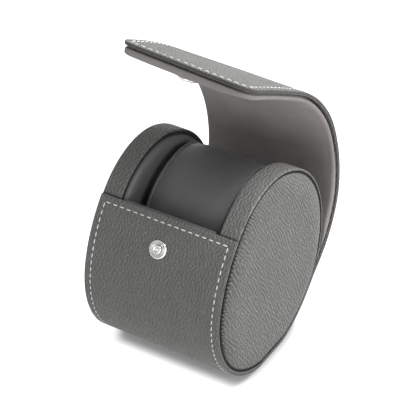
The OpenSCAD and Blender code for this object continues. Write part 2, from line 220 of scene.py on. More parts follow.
class Outline:
    """The drum's side outline: four tangent arcs and a flat base. A place on it is named by the
    direction that the surface faces, from -90 degrees under the drum round the back to 270."""

    FINE = 7200  # places looked at when a direction is sought

    def __init__(self):
        d = bpy.context.scene.case_drum
        low, high = np.array([0, d.bottom_rise]), np.array([d.top_shift, d.top_rise])
        self.base = d.bottom_radius - d.bottom_rise - d.base_cut
        self.height = self.base + d.band_thickness + bpy.context.scene.case_flap.leather_thickness
        back = self.side_centre(low, high, d.back_radius, -1)
        front = self.side_centre(low, high, d.front_radius, 1)
        self.centres = np.array([low, back, high, front, low])
        self.radii = np.array(
            [d.bottom_radius, d.back_radius, d.top_radius, d.front_radius, d.bottom_radius]
        )
        pairs = ((low, back), (high, back), (high, front), (low, front))
        self.joins = np.array([self.facing(p - q) for p, q in pairs])
        self.middle = np.array([0, self.height])

    def side_centre(self, low, high, radius, side):
        d = bpy.context.scene.case_drum
        a, b = radius - d.bottom_radius, radius - d.top_radius
        span = np.linalg.norm(high - low)
        u = (high - low) / span
        along = (a * a - b * b + span * span) / (2 * span)
        return low + along * u + side * math.sqrt(a * a - along * along) * np.array([u[1], -u[0]])

    def facing(self, v):
        """The direction of a vector, from -90 degrees up to 270."""
        return (math.atan2(v[1], v[0]) + 2.5 * math.pi) % (2 * math.pi) - math.pi / 2

    def at(self, facing, k):
        """Points k outside the hoops' surface, in the row frame."""
        facing = (np.asarray(facing, float) + math.pi / 2) % (2 * math.pi) - math.pi / 2
        arc = np.searchsorted(self.joins, facing)
        p = self.centres[arc] + (self.radii[arc] + k)[..., None] * unit(facing)
        p[..., 1] = np.maximum(p[..., 1], -self.base - k)
        return p + self.middle

    def facing_towards(self, angle):
        """The direction that the surface faces where a ray at that angle from the centre meets it."""
        f = np.linspace(-math.pi / 2, 1.5 * math.pi, self.FINE + 1)
        p = self.at(f, 0) - self.middle
        seen = np.unwrap(np.arctan2(p[:, 1], p[:, 0]))
        return float(np.interp(angle, seen, f))

    def oval(self, angle, k):
        """Points of the cushion's oval, k outside its cover."""
        c = bpy.context.scene.case_cushion
        x, y = (c.long_half + k) * np.cos(angle), (c.short_half + k) * np.sin(angle)
        s, t = math.sin(c.tilt), math.cos(c.tilt)
        return np.stack([c.shift + x * t - y * s, c.rise + x * s + y * t], -1) + self.middle


def eased(value, low, high):
    """A smooth step from 0 at low to 1 at high."""
    t = np.clip((np.asarray(value, float) - low) / (high - low), 0, 1)
    return t * t * (3 - 2 * t)


def round_over(near, radius):
    """How far a face drops at a distance from its rounded edge."""
    share = np.clip(near / radius, 0, 1)
    return radius * (1 - np.sqrt(np.maximum(1 - (1 - share) ** 2, 0)))


def bell(value, middle, width):
    """A smooth hump, 1 in the middle."""
    return np.exp(-(((value - middle) / width) ** 2))


def distances(points):
    """The distance along a line of points, from its first point to each."""
    return np.concatenate([[0], np.cumsum(np.linalg.norm(np.diff(points, axis=0), axis=1))])


def all_round(count):
    """Evenly spread facings, from under the drum round its back."""
    return np.linspace(-math.pi / 2, 1.5 * math.pi, count, endpoint=False)


def ahead(point, heading, length, bend, share):
    """A place on a curved panel, as a share of its length."""
    return point + length / bend * (left_of(heading) - left_of(heading + bend * share))


class WrapLine:
    """The middle of the wrap's leather, from the lip down the front, round under the drum, up the
    back and out along the open flap. A place on it is named by its run, the distance from the lip."""

    STEP = 0.0005  # between two points of the line
    DRUM_POINTS = 1200
    ROOT_PASSES, ROOT_REACH = 12, 0.006  # how often the bend at the root is softened, and how far
    RISE_POINTS = 27  # over which the leather's rise is evened out
    LEAN_LEAD = 0.01  # how far before the fourth fold the tip begins to lean
    CURL_END = 0.02  # how far before the tip the curl is full
    HEM_LEAD, HEM_END = 0.002, 0.014  # before and after the root: where the edges grow thicker

    def __init__(self, outline):
        d, f = bpy.context.scene.case_drum, bpy.context.scene.case_flap
        middle = d.band_thickness + f.leather_thickness / 2
        start = outline.facing_towards(d.lip_angle)
        end = outline.facing_towards(f.root_angle) + 2 * math.pi
        points = list(outline.at(np.linspace(start, end, self.DRUM_POINTS), middle))
        heading = end + math.pi / 2 - f.root_lift
        marks = [len(points) - 1]
        for step in np.arange(self.STEP, f.tail_length + 1e-9, self.STEP):
            points.append(points[marks[0]] + step * unit(heading))
        marks.append(len(points) - 1)
        here = points[-1]
        for millimetres, degrees in PANELS:
            panel, bend = millimetres / 1000, math.radians(degrees)
            for share in np.linspace(0, 1, int(round(panel / self.STEP)) + 1)[1:]:
                points.append(ahead(here, heading, panel, bend, share))
            here, heading = points[-1], heading + bend
            marks.append(len(points) - 1)
        points = np.array(points)
        runs = distances(points)
        self.root, *self.folds, self.tip = [float(runs[m]) for m in marks]
        self.runs = np.append(np.arange(0, self.tip, self.STEP), self.tip)
        points = np.stack([np.interp(self.runs, runs, points[:, i]) for i in (0, 1)], -1)
        soft = points.copy()
        for _ in range(self.ROOT_PASSES):
            soft[1:-1] = (soft[:-2] + 2 * soft[1:-1] + soft[2:]) / 4
        near = bell(self.runs, self.root, self.ROOT_REACH)[:, None]
        self.points = points * (1 - near) + soft * near
        along, rise = np.array(LEATHER_RISE).T / 1000
        window = np.hanning(self.RISE_POINTS)
        rise = np.interp(self.runs - self.root, along, rise)
        rise = np.pad(rise, self.RISE_POINTS // 2, mode="edge")
        self.rises = np.convolve(rise, window / window.sum(), mode="valid")
        g = np.gradient(self.points, axis=0)
        self.headings = np.unwrap(np.arctan2(g[:, 1], g[:, 0]))

    def at(self, run, depth):
        """Points at a depth inside the leather's middle."""
        p = np.stack([np.interp(run, self.runs, self.points[:, i]) for i in (0, 1)], -1)
        return p + np.asarray(depth)[..., None] * left_of(self.heading(run))

    def heading(self, run):
        return np.interp(run, self.runs, self.headings)

    def place(self, x, run, depth):
        """Points in the row frame, from across, run and depth. The tip's left side lies further back."""
        x, run, depth = np.broadcast_arrays(x, run, depth)
        lean = bpy.context.scene.case_flap.lean * eased(run, self.folds[3] - self.LEAN_LEAD, self.tip)
        p = self.at(run - lean * self.from_right(x), depth - self.lifted(x, run))
        return np.stack([x, p[..., 0], p[..., 1]], -1)

    def lifted(self, x, run):
        """How far the flap's left side curls up."""
        curl = bpy.context.scene.case_flap.curl
        return curl * eased(run, self.folds[2], self.tip - self.CURL_END) * self.from_right(x)

    def from_right(self, x):
        """The share of the width from the right edge, 0, to the left edge, 1."""
        half = bpy.context.scene.case_drum.half_width
        return (half - x) / (2 * half)

    def outside(self, run):
        """Depth of the leather's outer face."""
        return -bpy.context.scene.case_flap.leather_thickness / 2 - np.interp(run, self.runs, self.rises)

    def hem_inside(self, run):
        """Depth of the inner face of the leather's turned-in edge."""
        f = bpy.context.scene.case_flap
        share = eased(run, self.root - self.HEM_LEAD, self.root + self.HEM_END)
        return self.outside(run) + f.leather_thickness + (f.hem_thickness - f.leather_thickness) * share

    def seams(self):
        """The runs at which the wrap is divided: half-way along each panel but the last."""
        ends = self.folds + [self.tip]
        return [0.0] + [(a + b) / 2 for a, b in zip(ends[:4], ends[1:5])] + [self.tip]


GRAIN_LEAN = 16  # degrees that the leather's grain leans from the run of the wrap


# ---------- Meshes


def make_mesh(name, vertices, faces, uv=None, wear_and_painted_light=None):
    """An object from points and faces, with its own map of the surface in metres. Its layer of rubbing and
    painted light is 1 where the leather is lighter from rubbing and painted highlight, and -1 where painted
    shade darkens it."""
    mesh = bpy.data.meshes.new(name)
    mesh.from_pydata([tuple(v) for v in vertices], [], [tuple(f) for f in faces])
    if uv is not None:
        layer = mesh.uv_layers.new(name=SURFACE_MAP)
        corners = np.zeros(len(mesh.loops), int)
        mesh.loops.foreach_get("vertex_index", corners)
        layer.uv.foreach_set("vector", np.asarray(uv, np.float32)[corners].ravel())
    if wear_and_painted_light is not None:
        layer = mesh.attributes.new(WEAR_AND_PAINTED_LIGHT_LAYER, "FLOAT", "POINT")
        layer.data.foreach_set("value", np.asarray(wear_and_painted_light, np.float32).ravel())
    obj = bpy.data.objects.new(name, mesh)
    bpy.context.scene.collection.objects.link(obj)
    return obj


def close_up(obj, sharp=55):
    """Merges what meets, turns the faces outwards and shades the piece smooth up to an angle."""
    b = bmesh.new()
    b.from_mesh(obj.data)
    bmesh.ops.remove_doubles(b, verts=b.verts, dist=2e-6)
    bmesh.ops.dissolve_degenerate(b, edges=b.edges, dist=1e-7)
    bmesh.ops.recalc_face_normals(b, faces=b.faces)
    b.to_mesh(obj.data)
    b.free()
    obj.data.shade_smooth()
    obj.data.set_sharp_from_angle(angle=math.radians(sharp))
    return obj


def grid_faces(rows, columns, start=0, around=False, closed=False):
    """Faces of a grid of points. around joins the last column to the first, closed the last row."""
    total = rows * columns
    faces = []
    for i in range(rows if closed else rows - 1):
        for j in range(columns if around else columns - 1):
            a, b = i * columns + j, i * columns + (j + 1) % columns
            faces.append(tuple(start + v % total for v in (a, b, b + columns, a + columns)))
    return faces


def at_x(x, side_line):
    """Points of the side view, carried to one place across."""
    return np.insert(side_line, 0, x, axis=1)


def shell(name, outer, inner, uv, uv_inside, wear_and_painted_light=None):
    """A closed sheet between two grids of points."""
    rows, columns = outer.shape[:2]
    n = rows * columns
    faces = grid_faces(rows, columns) + grid_faces(rows, columns, n)
    rim = [i * columns for i in range(rows)]
    rim += [(rows - 1) * columns + j for j in range(1, columns)]
    rim += [i * columns + columns - 1 for i in range(rows - 2, -1, -1)]
    rim += list(range(columns - 2, 0, -1))
    faces += [(a, b, b + n, a + n) for a, b in zip(rim, rim[1:] + rim[:1])]
    points = np.concatenate([outer.reshape(-1, 3), inner.reshape(-1, 3)])
    maps = np.concatenate([uv.reshape(-1, 2), uv_inside.reshape(-1, 2)])
    return make_mesh(name, points, faces, maps, None if wear_and_painted_light is None else np.tile(wear_and_painted_light.ravel(), 2))


def swept_ring(name, profile, wear_and_painted_light):
    """A closed profile of (across, k) carried round the drum's outline, with one place for each
    column of the layer of rubbing and painted light. Its ends meet."""
    count = wear_and_painted_light.shape[1]
    outline, facing = Outline(), all_round(count)
    around = distances(outline.at(facing, 0))
    points = np.array([at_x(x, outline.at(facing, k)) for x, k in profile])
    uv = np.array([np.stack([np.full(count, x + k), around], -1) for x, k in profile])
    faces = grid_faces(len(profile), count, around=True, closed=True)
    return make_mesh(name, points.reshape(-1, 3), faces, uv.reshape(-1, 2), wear_and_painted_light)


def capped_rings(name, rings, uv, middle_front, middle_back, wear_and_painted_light=None):
    """A closed form from rings of points, with a pole at each end."""
    rings, uv = np.array(rings), np.array(uv)
    rows, count = rings.shape[:2]
    faces = grid_faces(rows, count, around=True)
    first, last = rows * count, rows * count + 1
    for j in range(count):
        k = (j + 1) % count
        faces.append((first, k, j))
        faces.append((last, (rows - 1) * count + j, (rows - 1) * count + k))
    points = np.concatenate([rings.reshape(-1, 3), [middle_front, middle_back]])
    flat = np.concatenate([uv.reshape(-1, 2), [uv[0].mean(0), uv[-1].mean(0)]])
    worn_and_painted_light = None if wear_and_painted_light is None else np.concatenate([np.ravel(wear_and_painted_light), [0, 0]])
    return make_mesh(name, points, faces, flat, worn_and_painted_light)


def lathe(name, profile, origin, axis, across, steps=64):
    """A turned form from (radius, height) pairs that start and end on the axis."""
    origin, axis, across = (np.array(v, float) for v in (origin, axis, across))
    other = np.cross(axis, across)
    angles = np.linspace(0, 2 * math.pi, steps, endpoint=False)
    spokes = np.cos(angles)[:, None] * across + np.sin(angles)[:, None] * other
    rings = [origin + axis * h + spokes * r for r, h in profile[1:-1]]
    uv = np.zeros((len(rings), steps, 2))
    ends = [origin + axis * h for h in (profile[0][1], profile[-1][1])]
    return close_up(capped_rings(name, rings, uv, *ends), 35)


def on_a_line(values):
    """Points on one axis, for waves along it."""
    return np.stack([values, 0 * values, 0 * values], -1)


def waves(points, size, seed):
    """Smooth unevenness between -1 and 1 for each point, at the scale of one size."""
    flat = np.asarray(points, float).reshape(-1, 3) / size + seed * 17.3
    return np.array([noise.noise(Vector(p)) for p in flat]).reshape(np.asarray(points).shape[:-1])


def uneven(points, *layers):
    """Unevenness made of layers of (size, height, seed)."""
    return sum(height * waves(points, size, seed) for size, height, seed in layers)


# ---------- Finishes


class Nodes:
    """A node tree under construction."""

    def __init__(self, tree):
        self.tree = tree

    def node(self, kind, **settings):
        made = self.tree.nodes.new(kind)
        for key, value in settings.items():
            setattr(made, key, value)
        return made

    def put(self, target, value):
        """Sets a socket to a number or a colour, or links it to an output."""
        if isinstance(value, bpy.types.NodeSocket):
            self.tree.links.new(value, target)
        elif hasattr(value, "__len__") and len(value) == 3 and target.type == "RGBA":
            target.default_value = (*value, 1)
        else:
            target.default_value = value

    def fed(self, kind, inputs, output=0, **settings):
        """One output of a new node whose inputs are given by name or place."""
        made = self.node(kind, **settings)
        for key, value in inputs.items():
            self.put(made.inputs[key], value)
        return made.outputs[output]

    def maths(self, kind, a, b=0.5, c=0.5):
        return self.fed("ShaderNodeMath", {0: a, 1: b, 2: c}, operation=kind)

    def seen(self):
        """1 where the camera sees a thing, mirrored and through others too, and 0 for other light."""
        rays = self.node("ShaderNodeLightPath").outputs
        seen = self.maths("MAXIMUM", rays["Is Camera Ray"], rays["Is Glossy Ray"])
        return self.maths("MAXIMUM", seen, rays["Is Transmission Ray"])


class Finish(Nodes):
    """A material under construction. Scales are in details for each metre."""

    def __init__(self, name):
        self.material = bpy.data.materials.new(name)
        self.material.use_nodes = True
        super().__init__(self.material.node_tree)
        self.tree.nodes.clear()
        self.out = self.node("ShaderNodeOutputMaterial")
        self.shader = self.node("ShaderNodeBsdfPrincipled")
        self.put(self.out.inputs[0], self.shader.outputs[0])

    def surface(self):
        """The piece's own map of its surface, in metres."""
        return self.node("ShaderNodeUVMap", uv_map=SURFACE_MAP).outputs[0]

    def place(self):
        return self.node("ShaderNodeTexCoord").outputs["Object"]

    def vector(self, kind, a, b):
        return self.fed("ShaderNodeVectorMath", {0: a, "Scale" if kind == "SCALE" else 1: b}, operation=kind)

    def noise(self, where, scale, detail=2.0, roughness=0.5, output="Fac"):
        inputs = {"Vector": where, "Scale": scale, "Detail": detail, "Roughness": roughness}
        return self.fed("ShaderNodeTexNoise", inputs, output)

    def cells(self, where, scale, feature, **more):
        inputs = {"Vector": where, "Scale": scale, **more}
        return self.fed("ShaderNodeTexVoronoi", inputs, "Distance", feature=feature)

    def ripples(self, where, scale, frequency, order):
        """Rows of ripples across the first axis, the straighter the nearer the order is to 1."""
        inputs = {"Vector": where, "Scale": scale, "Frequency": frequency, "Anisotropy": order}
        along = 4  # the input that turns the rows in the plane
        return self.fed("ShaderNodeTexGabor", {**inputs, along: 0.0}, "Value")

    def ramp(self, value, low, high, to_low=0.0, to_high=1.0):
        ends = {"From Min": low, "From Max": high, "To Min": to_low, "To Max": to_high}
        return self.fed("ShaderNodeMapRange", {"Value": value, **ends}, interpolation_type="SMOOTHSTEP")

    def mix(self, share, a, b, kind="MIX"):
        inputs = {0: share, 6: a, 7: b}  # 6 and 7 are the two colours
        return self.fed("ShaderNodeMix", inputs, 2, data_type="RGBA", blend_type=kind)

    def toned(self, colour, tone):
        """A colour made lighter or darker by a factor."""
        grey_tone = self.fed("ShaderNodeCombineColor", {0: tone, 1: tone, 2: tone})
        return self.mix(1.0, colour, grey_tone, "MULTIPLY")

    def bump(self, height, distance, strength=1.0, below=None):
        inputs = {"Height": height, "Distance": distance, "Strength": strength}
        if below is not None:
            inputs["Normal"] = below
        return self.fed("ShaderNodeBump", inputs)

    def look(self, base, roughness, normal, **more):
        """Sets the shader's inputs. Those in more are named in small letters."""
        inputs = {"base_color": base, "roughness": roughness, "normal": normal, **more}
        for target in self.shader.inputs:
            key = target.name.lower().replace(" ", "_")
            if key in inputs:
                self.put(target, inputs.pop(key))
        return self.material


def shade(c, factor):
    return tuple(min(1, v * factor) for v in c)


def pebbled_leather(name, colour, order, drawn, lean, grain_tone_and_crease_shade):
    """Grained leather: pebbles drawn out one way with creases between them, painted shade in the creases
    and painted highlight on the pebbles, lighter on its edges from rubbing and painted highlight, and
    darkened with painted shade where the mesh's layer is below 0."""
    m = Finish(name)
    turned = {"Vector": m.surface(), "Scale": (*drawn, 1), "Rotation": (0, 0, math.radians(lean))}
    at = m.fed("ShaderNodeMapping", turned, vector_type="TEXTURE")
    drift = m.vector("SUBTRACT", m.noise(at, 260, 1, output="Color"), (0.5, 0.5, 0.5))
    bent = m.vector("ADD", at, m.vector("SCALE", drift, 0.0012))
    pebbles = m.ramp(m.cells(bent, 900, "DISTANCE_TO_EDGE"), 0.02, 0.3)
    ripples = m.ramp(m.ripples(bent, 380, 1.9, order), 0.25, 0.75)
    fine = m.noise(at, 2300, 2, 0.6)
    height = m.maths("MULTIPLY_ADD", ripples, 0.58, m.maths("MULTIPLY", fine, 0.12))
    height = m.maths("MULTIPLY_ADD", pebbles, 0.3, height)
    patches = m.ramp(m.noise(m.surface(), 60, 3), 0.3, 0.7, 0.95, 1.04)
    # the pebbles' tops lighter and the creases darker: painted highlight and painted shade, times broad
    # random patches
    base = m.toned(colour, m.maths("MULTIPLY", patches, m.ramp(height, 0.15, 0.9, *grain_tone_and_crease_shade)))
    worn_and_painted_light = m.node("ShaderNodeAttribute", attribute_name=WEAR_AND_PAINTED_LIGHT_LAYER).outputs["Fac"]
    # above 0 the layer lightens the edges: rubbing and painted highlight; below 0 it darkens with painted
    # shade, down to a tenth of the colour, made duller so that it stays dark
    base = m.mix(m.ramp(worn_and_painted_light, 0.02, 1), base, shade(colour, 1.9))
    base = m.mix(m.ramp(worn_and_painted_light, -0.02, -1), base, shade(colour, 0.1))
    dull = m.ramp(worn_and_painted_light, -0.15, -1, 0, 0.4)
    roughness = m.maths("ADD", m.ramp(height, 0.2, 0.9, 0.6, 0.47), dull)
    rolling = m.bump(m.noise(m.surface(), 130), 0.0007, 0.5)
    return m.look(base, roughness, m.bump(height, 0.0006, 1.0, rolling), specular_ior_level=0.4)


def smooth_leather(name, colour):
    """Soft, almost plain leather with a fine grain."""
    m = Finish(name)
    at = m.place()
    fine = m.cells(at, 2600, "SMOOTH_F1", Smoothness=0.5)
    broad = m.noise(at, 90, 3)
    base = m.toned(colour, m.ramp(broad, 0.3, 0.7, 0.97, 1.03))
    rolling = m.bump(m.noise(at, 200), 0.0004, 0.4)
    normal = m.bump(fine, 0.00005, 0.7, rolling)
    return m.look(base, m.ramp(broad, 0.3, 0.7, 0.5, 0.42), normal, specular_ior_level=0.4)


def brushed_suede(name, colour):
    """Short nap that lies one way in places and the other way in others."""
    m = Finish(name)
    at = m.surface()
    nap = m.noise(at, 3800, 2, 0.7)
    lie = m.ramp(m.noise(at, 70, 4, 0.6), 0.3, 0.7, 0.93, 1.06)
    base = m.toned(colour, m.maths("MULTIPLY", lie, m.ramp(nap, 0.2, 0.8, 0.92, 1.08)))
    normal = m.bump(nap, 0.00012, 0.6, m.bump(m.noise(at, 110), 0.0008, 0.5))
    return m.look(base, 0.92, normal, specular_ior_level=0.15, sheen_weight=0.35, sheen_roughness=0.4)


def thread(name, colour):
    """Twisted thread, darker in places from a fine noise: painted shade between its strands."""
    m = Finish(name)
    strands = m.noise(m.place(), 5200, 1)
    base = m.mix(m.ramp(strands, 0.35, 0.6), shade(colour, 0.8), colour)
    return m.look(base, 0.6, m.bump(strands, 0.00008, 0.6))


def polished_metal(name, colour):
    """Plated metal with faint wear."""
    m = Finish(name)
    wear_and_painted_light = m.noise(m.place(), 900, 3, 0.6)
    base = m.mix(m.ramp(wear_and_painted_light, 0.3, 0.7), shade(colour, 0.85), colour)
    return m.look(base, m.ramp(wear_and_painted_light, 0.3, 0.7, 0.3, 0.18), m.bump(wear_and_painted_light, 0.00003, 0.5), metallic=1)


def plain_filler(name, colour, scale, depth):
    """Board or foam: an even tone with a fine, dry surface."""
    m = Finish(name)
    grains = m.noise(m.place(), scale, 4, 0.65)
    base = m.mix(m.ramp(grains, 0.3, 0.7), shade(colour, 0.82), shade(colour, 1.08))
    return m.look(base, 0.9, m.bump(grains, depth, 0.7))


def finish(name):
    """The named finish, made the first time that it is asked for."""
    found = bpy.data.materials.get(name)
    if found:
        return found
    c = bpy.context.scene.case_finishes
    makers = {
        "Pebbled leather": lambda: pebbled_leather(
            name, c.leather, order=0.5, drawn=(1.2, 1.5), lean=-4, grain_tone_and_crease_shade=(0.74, 1.18)
        ),
        "Drawn leather": lambda: pebbled_leather(
            name, c.leather, order=0.8, drawn=(1, 1.6), lean=GRAIN_LEAN, grain_tone_and_crease_shade=(0.62, 1.29)
        ),
        "Smooth leather": lambda: smooth_leather(name, c.smooth),
        "Suede": lambda: brushed_suede(name, c.suede),
        "Thread": lambda: thread(name, c.thread),
        "Plated metal": lambda: polished_metal(name, c.metal),
        "Board": lambda: plain_filler(name, c.board, 1500, 0.0001),
        "Covered board": lambda: plain_filler(name, c.smooth, 1500, 0.0001),
        "Foam": lambda: plain_filler(name, c.foam, 2500, 0.0002),
    }
    return makers[name]()


def dress(obj, material, body=None):
    """Gives a finished piece its material and the body that it rides on."""
    obj.data.materials.clear()
    obj.data.materials.append(finish(material))
    if body:
        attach(obj, body)
    return obj


# ---------- Wrap, flap and lining


# distances from an edge at which the sheets have points, close together where the edge is rounded
EDGE = np.array([0, 0.05, 0.16, 0.33, 0.55, 0.8, 1.05, 1.28, 1.45, 2.1, 2.7, 3.05, 3.4, 3.75, 4.1, 4.8])
EDGE = EDGE / 1000


def edge_columns(half, spacing):
    """Distances across from the middle, close together near both edges."""
    inner = half - EDGE[-1]
    count = max(2, int(round(2 * inner / spacing)))
    middle = np.linspace(-inner, inner, count + 1)
    return np.concatenate([-half + EDGE[:-1], middle, (half - EDGE[:-1])[::-1]])


def rows_between(start, end, spacing, corner=0.0, marks=()):
    """Runs from one seam to the next, close together round the flap's corners and at the marks."""
    rows = np.linspace(start, end, int((end - start) / spacing) + 2)
    if corner:
        tip = end - np.concatenate([EDGE, np.linspace(EDGE[-1], corner, 6)[1:]])[::-1]
        rows = np.concatenate([rows[rows < tip[0] - spacing / 3], tip])
    for mark in marks:
        gap = spacing / 3
        rows = np.concatenate([rows[rows < mark[0] - gap], mark, rows[rows > mark[-1] + gap]])
    return rows


def half_width_at(line, run, half, inset, corner):
    """Half width of the flap, which draws in round its two corners."""
    into = np.clip(np.asarray(run) - (line.tip - inset - corner), 0, corner)
    return half - corner + np.sqrt(np.maximum(corner**2 - into**2, 0))


def edge_distance(x, run, half, end, corner):
    """Distance from a point of the flap to its nearest side or to its rounded end."""
    beside, beyond = half - np.abs(x), end - run
    u, v = corner - beside, corner - beyond
    round_corner = corner - np.hypot(u, v)
    return np.where((u > 0) & (v > 0), round_corner, np.minimum(beside, beyond))


def bend_between(obj, line, number):
    """Bakes a strip's place into its mesh. The fold whose number is given, from 0, is looked up, but the
    strip is not made to bend.
    """
    reach = 0.004
    fold = line.folds[number]
    ends = [line.at(fold + side * reach, 0.0) for side in (-1, 1)]
    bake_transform(obj)


ENDLESS = 9.0  # further than any run, for the strips that don't reach the tip
STRIPS = 5
SIDE_WALL = 0.002  # how near an edge the map follows the side of the sheet


def strip_grid(line, seams, number, half, inset, corner, spacing, marks=()):
    """Across, run and distance from the edge for the points of one strip of the flap."""
    start, end = seams[number : number + 2]
    last = number == STRIPS - 1
    rows = rows_between(start, end, spacing[0], corner if last else 0, marks)
    run, x = np.meshgrid(rows, edge_columns(half, spacing[1]), indexing="ij")
    x = x * half_width_at(line, run, half, inset, corner) / half
    return x, run, edge_distance(x, run, half, end if last else ENDLESS, corner)


class CASE_OT_wrap(Operator):
    """Build the wrap's leather, from the front panel round the drum and along the flap"""

    bl_idname = "case.wrap"
    bl_label = "Wrap and flap leather"

    def execute(self, context):
        d, f = context.scene.case_drum, context.scene.case_flap
        line = WrapLine(Outline())
        form = (d.half_width, 0, f.corner_radius, (0.0016, 0.003))
        for number in range(STRIPS):
            marks = [EDGE] if number == 0 else []
            x, run, near = strip_grid(line, line.seams(), number, *form, marks)
            if number == 0:
                near = np.minimum(near, run)
            self.strip(context, line, number, x, run, np.maximum(near, 0))
        return {"FINISHED"}

    def strip(self, context, line, number, x, run, near):
        """One strip of the leather: thicker along the edges, where it is turned in."""
        f, s = context.scene.case_flap, context.scene.case_stitch
        hem = line.hem_inside(run)
        thick = hem - line.outside(run)
        channel = f.stitch_channel * bell(near, s.inset, 0.0004)
        flat = np.stack([x, run, 0 * x], -1)
        soft = eased(run, line.root, line.folds[0]) * uneven(flat, (0.02, 0.00016, 5))
        outer = line.outside(run) + round_over(near, 0.27 * thick) + channel + soft
        beyond = eased(near, f.hem_width, f.hem_width + 0.00016)
        inner = hem - round_over(near, 0.2 * thick)
        inner = inner + (f.leather_thickness / 2 - inner) * beyond
        uv = np.stack([x, run], -1)
        at_wall, at_tip = near < SIDE_WALL, line.tip - run < f.corner_radius + 0.0001
        wall = uv + np.stack([np.sign(x) * at_wall, at_tip * at_wall], -1) * thick[..., None]
        # the edges a little lighter from rubbing and painted highlight, and the wall of the cut edge darker
        # with painted shade, as it faces away from the light
        rubbed_and_highlit, cut = bell(near, 0.0003, 0.0002), near < 0.00002
        wear_and_painted_light = 0.28 * rubbed_and_highlit - 0.5 * cut
        a, b = line.place(x, run, outer), line.place(x, run, inner)
        piece = close_up(shell("wrap_leather_%d" % (number + 1), a, b, uv, wall, wear_and_painted_light), 50)
        dress(piece, "Pebbled leather")
        nodes = ["flap_leather_%d" % (number + 1), "flap_board_%d" % (number + 1)]
        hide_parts(*nodes + ["wrap_leather"][number:])
        bend_between(piece, line, number)


class CASE_OT_lining(Operator):
    """Build the padded suede lining inside the flap"""

    bl_idname = "case.lining"
    bl_label = "Flap lining"

    def execute(self, context):
        d, f = context.scene.case_drum, context.scene.case_flap
        line = WrapLine(Outline())
        seams = line.seams()
        seams[0] = line.root + 0.003
        seams[5] -= f.lining_inset
        half, corner = d.half_width - f.lining_inset, f.corner_radius - f.lining_inset
        for number in range(STRIPS):
            marks = [seams[0] + EDGE[:6]] if number == 0 else []
            form = (half, f.lining_inset, corner, (0.0015, 0.0025), marks)
            x, run, near = strip_grid(line, seams, number, *form)
            self.strip(context, line, number, x, run, np.maximum(near, 0), seams[0])
        return {"FINISHED"}

    def strip(self, context, line, number, x, run, near, begin):
        """One strip of the lining: thin by the drum, then padded, with a rounded edge."""
        f, s = context.scene.case_flap, context.scene.case_snap
        on_leather = f.leather_thickness / 2 + 0.00004
        side = line.hem_inside(run) + f.hem_gap
        base = on_leather + np.maximum(side - on_leather, 0) * (1 - eased(near, 0.002, 0.003))
        flat = np.stack([x, run, 0 * x], -1)
        wobble = uneven(flat, (0.017, 0.00022, 1), (0.006, 0.00008, 2))
        fourth, fifth = line.folds[3:]
        loose = eased(run, fourth - 0.012, fourth) * (1 - eased(run, fifth, fifth + 0.02))
        wobble = wobble + uneven(flat, (0.011, 0.0004, 7)) * loose * np.exp(-near / 0.006)
        from_socket = np.hypot(x, run - (line.tip - s.tip_distance))
        rim = s.socket_radius - 0.0003  # the lining stays flat inside this radius
        swell = f.tip_padding * eased(run, fifth, line.tip - 0.012) * eased(from_socket, rim, rim + 0.004)
        swell = swell * (1 - 0.75 * eased(x, 0.018, 0.034))
        full = f.lining_depth + swell + np.minimum(wobble, 0.0001)
        thin = on_leather + f.thin_lining
        pad_from = line.folds[0] + f.lining_start
        face = thin + (full - thin) * eased(run, pad_from - 0.011, pad_from + 0.009)
        face = face + line.lifted(x, run) * (1 - eased(from_socket, rim, rim + 0.0065))
        all_near = np.minimum(near, run - begin) if number == 0 else near
        inner = face - round_over(all_near, np.minimum(0.0015, 0.55 * (face - base)))
        outer = base + round_over(all_near, np.minimum(0.0007, 0.3 * (face - base)))
        uv = np.stack([x, run], -1)
        wall = uv + np.stack([np.sign(x) * (near < SIDE_WALL), 0 * x], -1) * (face - base)[..., None]
        a, b = line.place(x, run, outer), line.place(x, run, inner)
        piece = close_up(shell("flap_lining_%d" % (number + 1), a, b, wall, uv), 60)
        dress(piece, "Suede")
        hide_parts("flap_pad_%d" % (number + 1))
        bend_between(piece, line, number)


# ---------- Stitching


